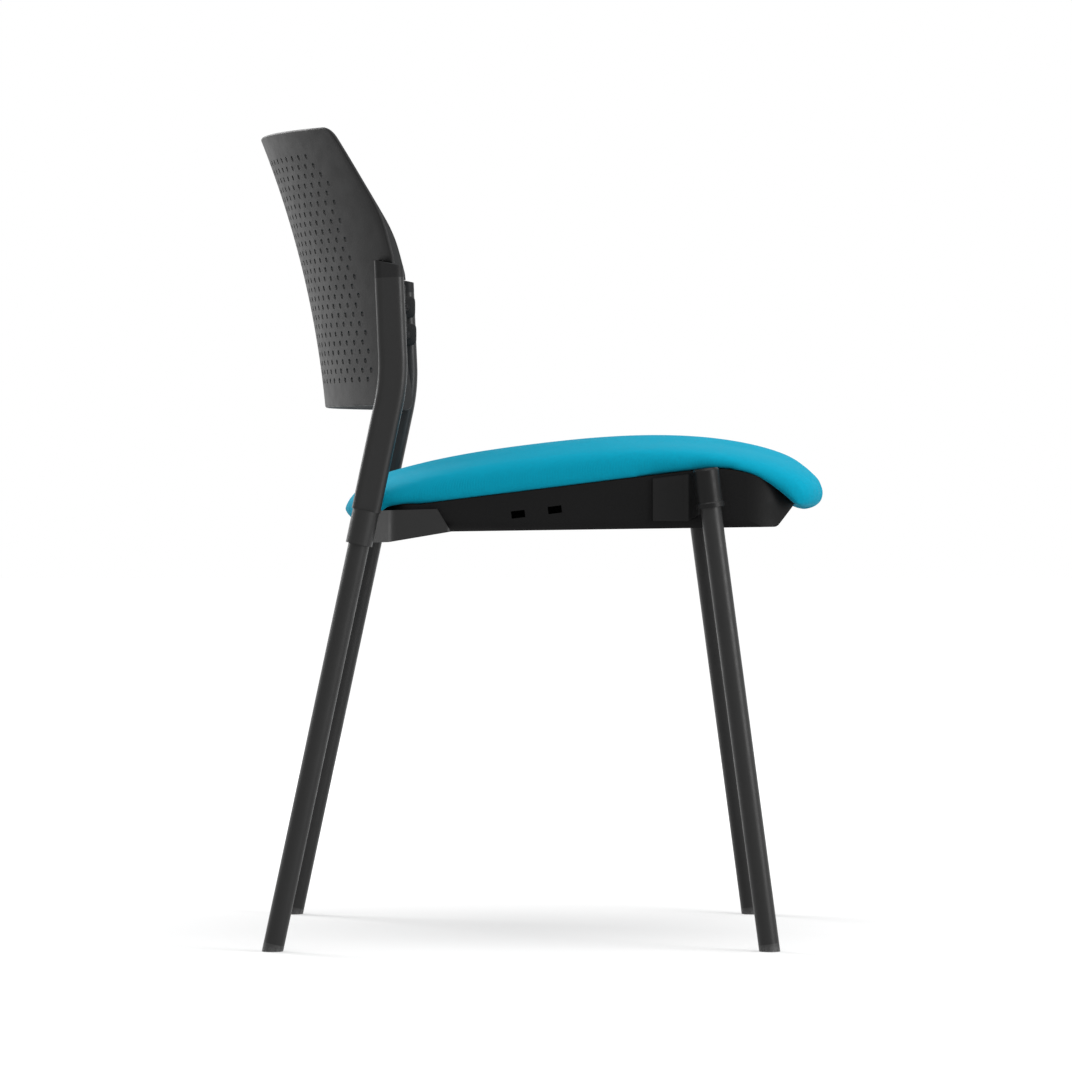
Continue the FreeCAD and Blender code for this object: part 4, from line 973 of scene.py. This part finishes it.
def studio_rays(tree):
    """1 for rays that see the backdrop: camera, glossy and transmission rays."""
    path = tree.nodes.new("ShaderNodeLightPath")
    direct = combine(tree, "MAXIMUM", path.outputs["Is Camera Ray"], path.outputs["Is Transmission Ray"])
    return combine(tree, "MAXIMUM", direct, path.outputs["Is Glossy Ray"])


def studio_floor():
    """A wide pale floor just under the glides: white to the camera where fully lit, darker in the shadow.

    Its own glow grows with the distance from the chair, by as much as the lamps' light fades there.
    """
    mesh = bpy.data.meshes.new("studio_floor")
    corners = [(x * FLOOR_HALF, y * FLOOR_HALF, FLOOR_Z) for x, y in ((-1, -1), (1, -1), (1, 1), (-1, 1))]
    mesh.from_pydata(corners, [], [(0, 1, 2, 3)])
    floor = bpy.data.objects.new("studio_floor", mesh)
    bpy.context.scene.collection.objects.link(floor)
    material = bpy.data.materials.new("floor_paint")
    material.use_nodes = True
    tree = material.node_tree
    tree.nodes.clear()
    seen = studio_rays(tree)
    paint = add_node(tree, "ShaderNodeBsdfDiffuse", {"Color": FLOOR_PAINT})
    place = tree.nodes.new("ShaderNodeTexCoord").outputs["Object"]
    away = add_node(tree, "ShaderNodeVectorMath", {0: place}, operation="LENGTH").outputs["Value"]
    level = combine(tree, "MULTIPLY", seen, spread(tree, away, *FLOOR_GLOW))
    glow = add_node(tree, "ShaderNodeEmission", {"Color": (1, 1, 1, 1), "Strength": level})
    both = add_node(tree, "ShaderNodeAddShader", {0: paint.outputs[0], 1: glow.outputs[0]})
    add_node(tree, "ShaderNodeOutputMaterial", {"Surface": both.outputs[0]})
    mesh.materials.append(material)


def studio_world(ambient):
    """White to the camera, a plain grey light to everything else."""
    world = bpy.data.worlds.new("studio")
    world.use_nodes = True
    tree = world.node_tree
    background = tree.nodes["Background"]
    background.inputs["Color"].default_value = (1, 1, 1, 1)
    seen = studio_rays(tree)
    strength = spread(tree, seen, ambient, 1.0, 0.0, 1.0)
    tree.links.new(strength, background.inputs["Strength"])
    bpy.context.scene.world = world


def studio_lamp(name, power, place, aim, size):
    """A square soft lamp at a place, turned to an aim."""
    lamp = bpy.data.lights.new(name, "AREA")
    lamp.shape = "SQUARE"
    lamp.size = size
    lamp.energy = power
    holder = bpy.data.objects.new(name, lamp)
    bpy.context.scene.collection.objects.link(holder)
    holder.location = place
    holder.rotation_mode = "QUATERNION"
    holder.rotation_quaternion = (Vector(aim) - Vector(place)).to_track_quat("-Z", "Y")


class ChairStage(bpy.types.Operator):
    """Pale floor, soft light and the camera"""

    bl_idname = "chair.stage"
    bl_label = "Studio"

    def execute(self, context):
        studio = context.scene.chair_studio
        studio_floor()
        studio_world(studio.ambient)
        for name, (power, place, aim, size) in LAMPS.items():
            studio_lamp(name, getattr(studio, power), place, aim, size)
        low, high = CAD_BOX
        middle = (Vector(low) + Vector(high)) / 2
        level = math.cos(studio.elevation)
        back = Vector((math.sin(studio.azimuth) * level, -math.cos(studio.azimuth) * level,
                       math.sin(studio.elevation)))
        data = bpy.data.cameras.new("camera")
        data.sensor_width = 36.0
        data.lens = data.sensor_width * studio.distance / studio.view_width
        data.clip_end = 100.0
        camera = bpy.data.objects.new("camera", data)
        context.scene.collection.objects.link(camera)
        camera.location = middle + back * studio.distance
        camera.rotation_mode = "QUATERNION"
        camera.rotation_quaternion = (-back).to_track_quat("-Z", "Y")
        context.scene.camera = camera
        context.scene.view_settings.view_transform = "Standard"
        return {"FINISHED"}


class ChairPanel(bpy.types.Panel):
    """Lists the chair's pieces and their sizes"""

    bl_idname = "VIEW3D_PT_chair"
    bl_label = "Stacking chair"
    bl_space_type = "VIEW_3D"
    bl_region_type = "UI"
    bl_category = "Chair"

    def draw(self, context):
        for operator in OPERATORS:
            self.layout.operator(operator.bl_idname)
        for name in GROUPS:
            box = self.layout.box()
            group = getattr(context.scene, name)
            for size in group.__annotations__:
                box.prop(group, size)


GROUPS = {
    "chair_back": ChairBackSizes,
    "chair_pad": ChairPadSizes,
    "chair_finishes": ChairFinishes,
    "chair_studio": ChairStudio,
}
OPERATORS = (ChairFrameFinish, ChairMouldings, ChairHiddenPieces, ChairBack, ChairSeat, ChairStage)


def register():
    """Registers the sizes, the operators and the panel."""
    for name, group in GROUPS.items():
        bpy.utils.register_class(group)
        setattr(bpy.types.Scene, name, PointerProperty(type=group))
    for kind in (*OPERATORS, ChairPanel):
        bpy.utils.register_class(kind)


def unregister():
    """Takes them out again."""
    for kind in (ChairPanel, *reversed(OPERATORS)):
        bpy.utils.unregister_class(kind)
    for name, group in GROUPS.items():
        delattr(bpy.types.Scene, name)
        bpy.utils.unregister_class(group)


def main():
    """Makes the chair piece by piece."""
    register()
    bpy.ops.chair.frame_finish()
    bpy.ops.chair.mouldings()
    bpy.ops.chair.hidden_pieces()
    bpy.ops.chair.back()
    bpy.ops.chair.seat()
    bpy.ops.chair.stage()


if __name__ == "__main__":
    main()
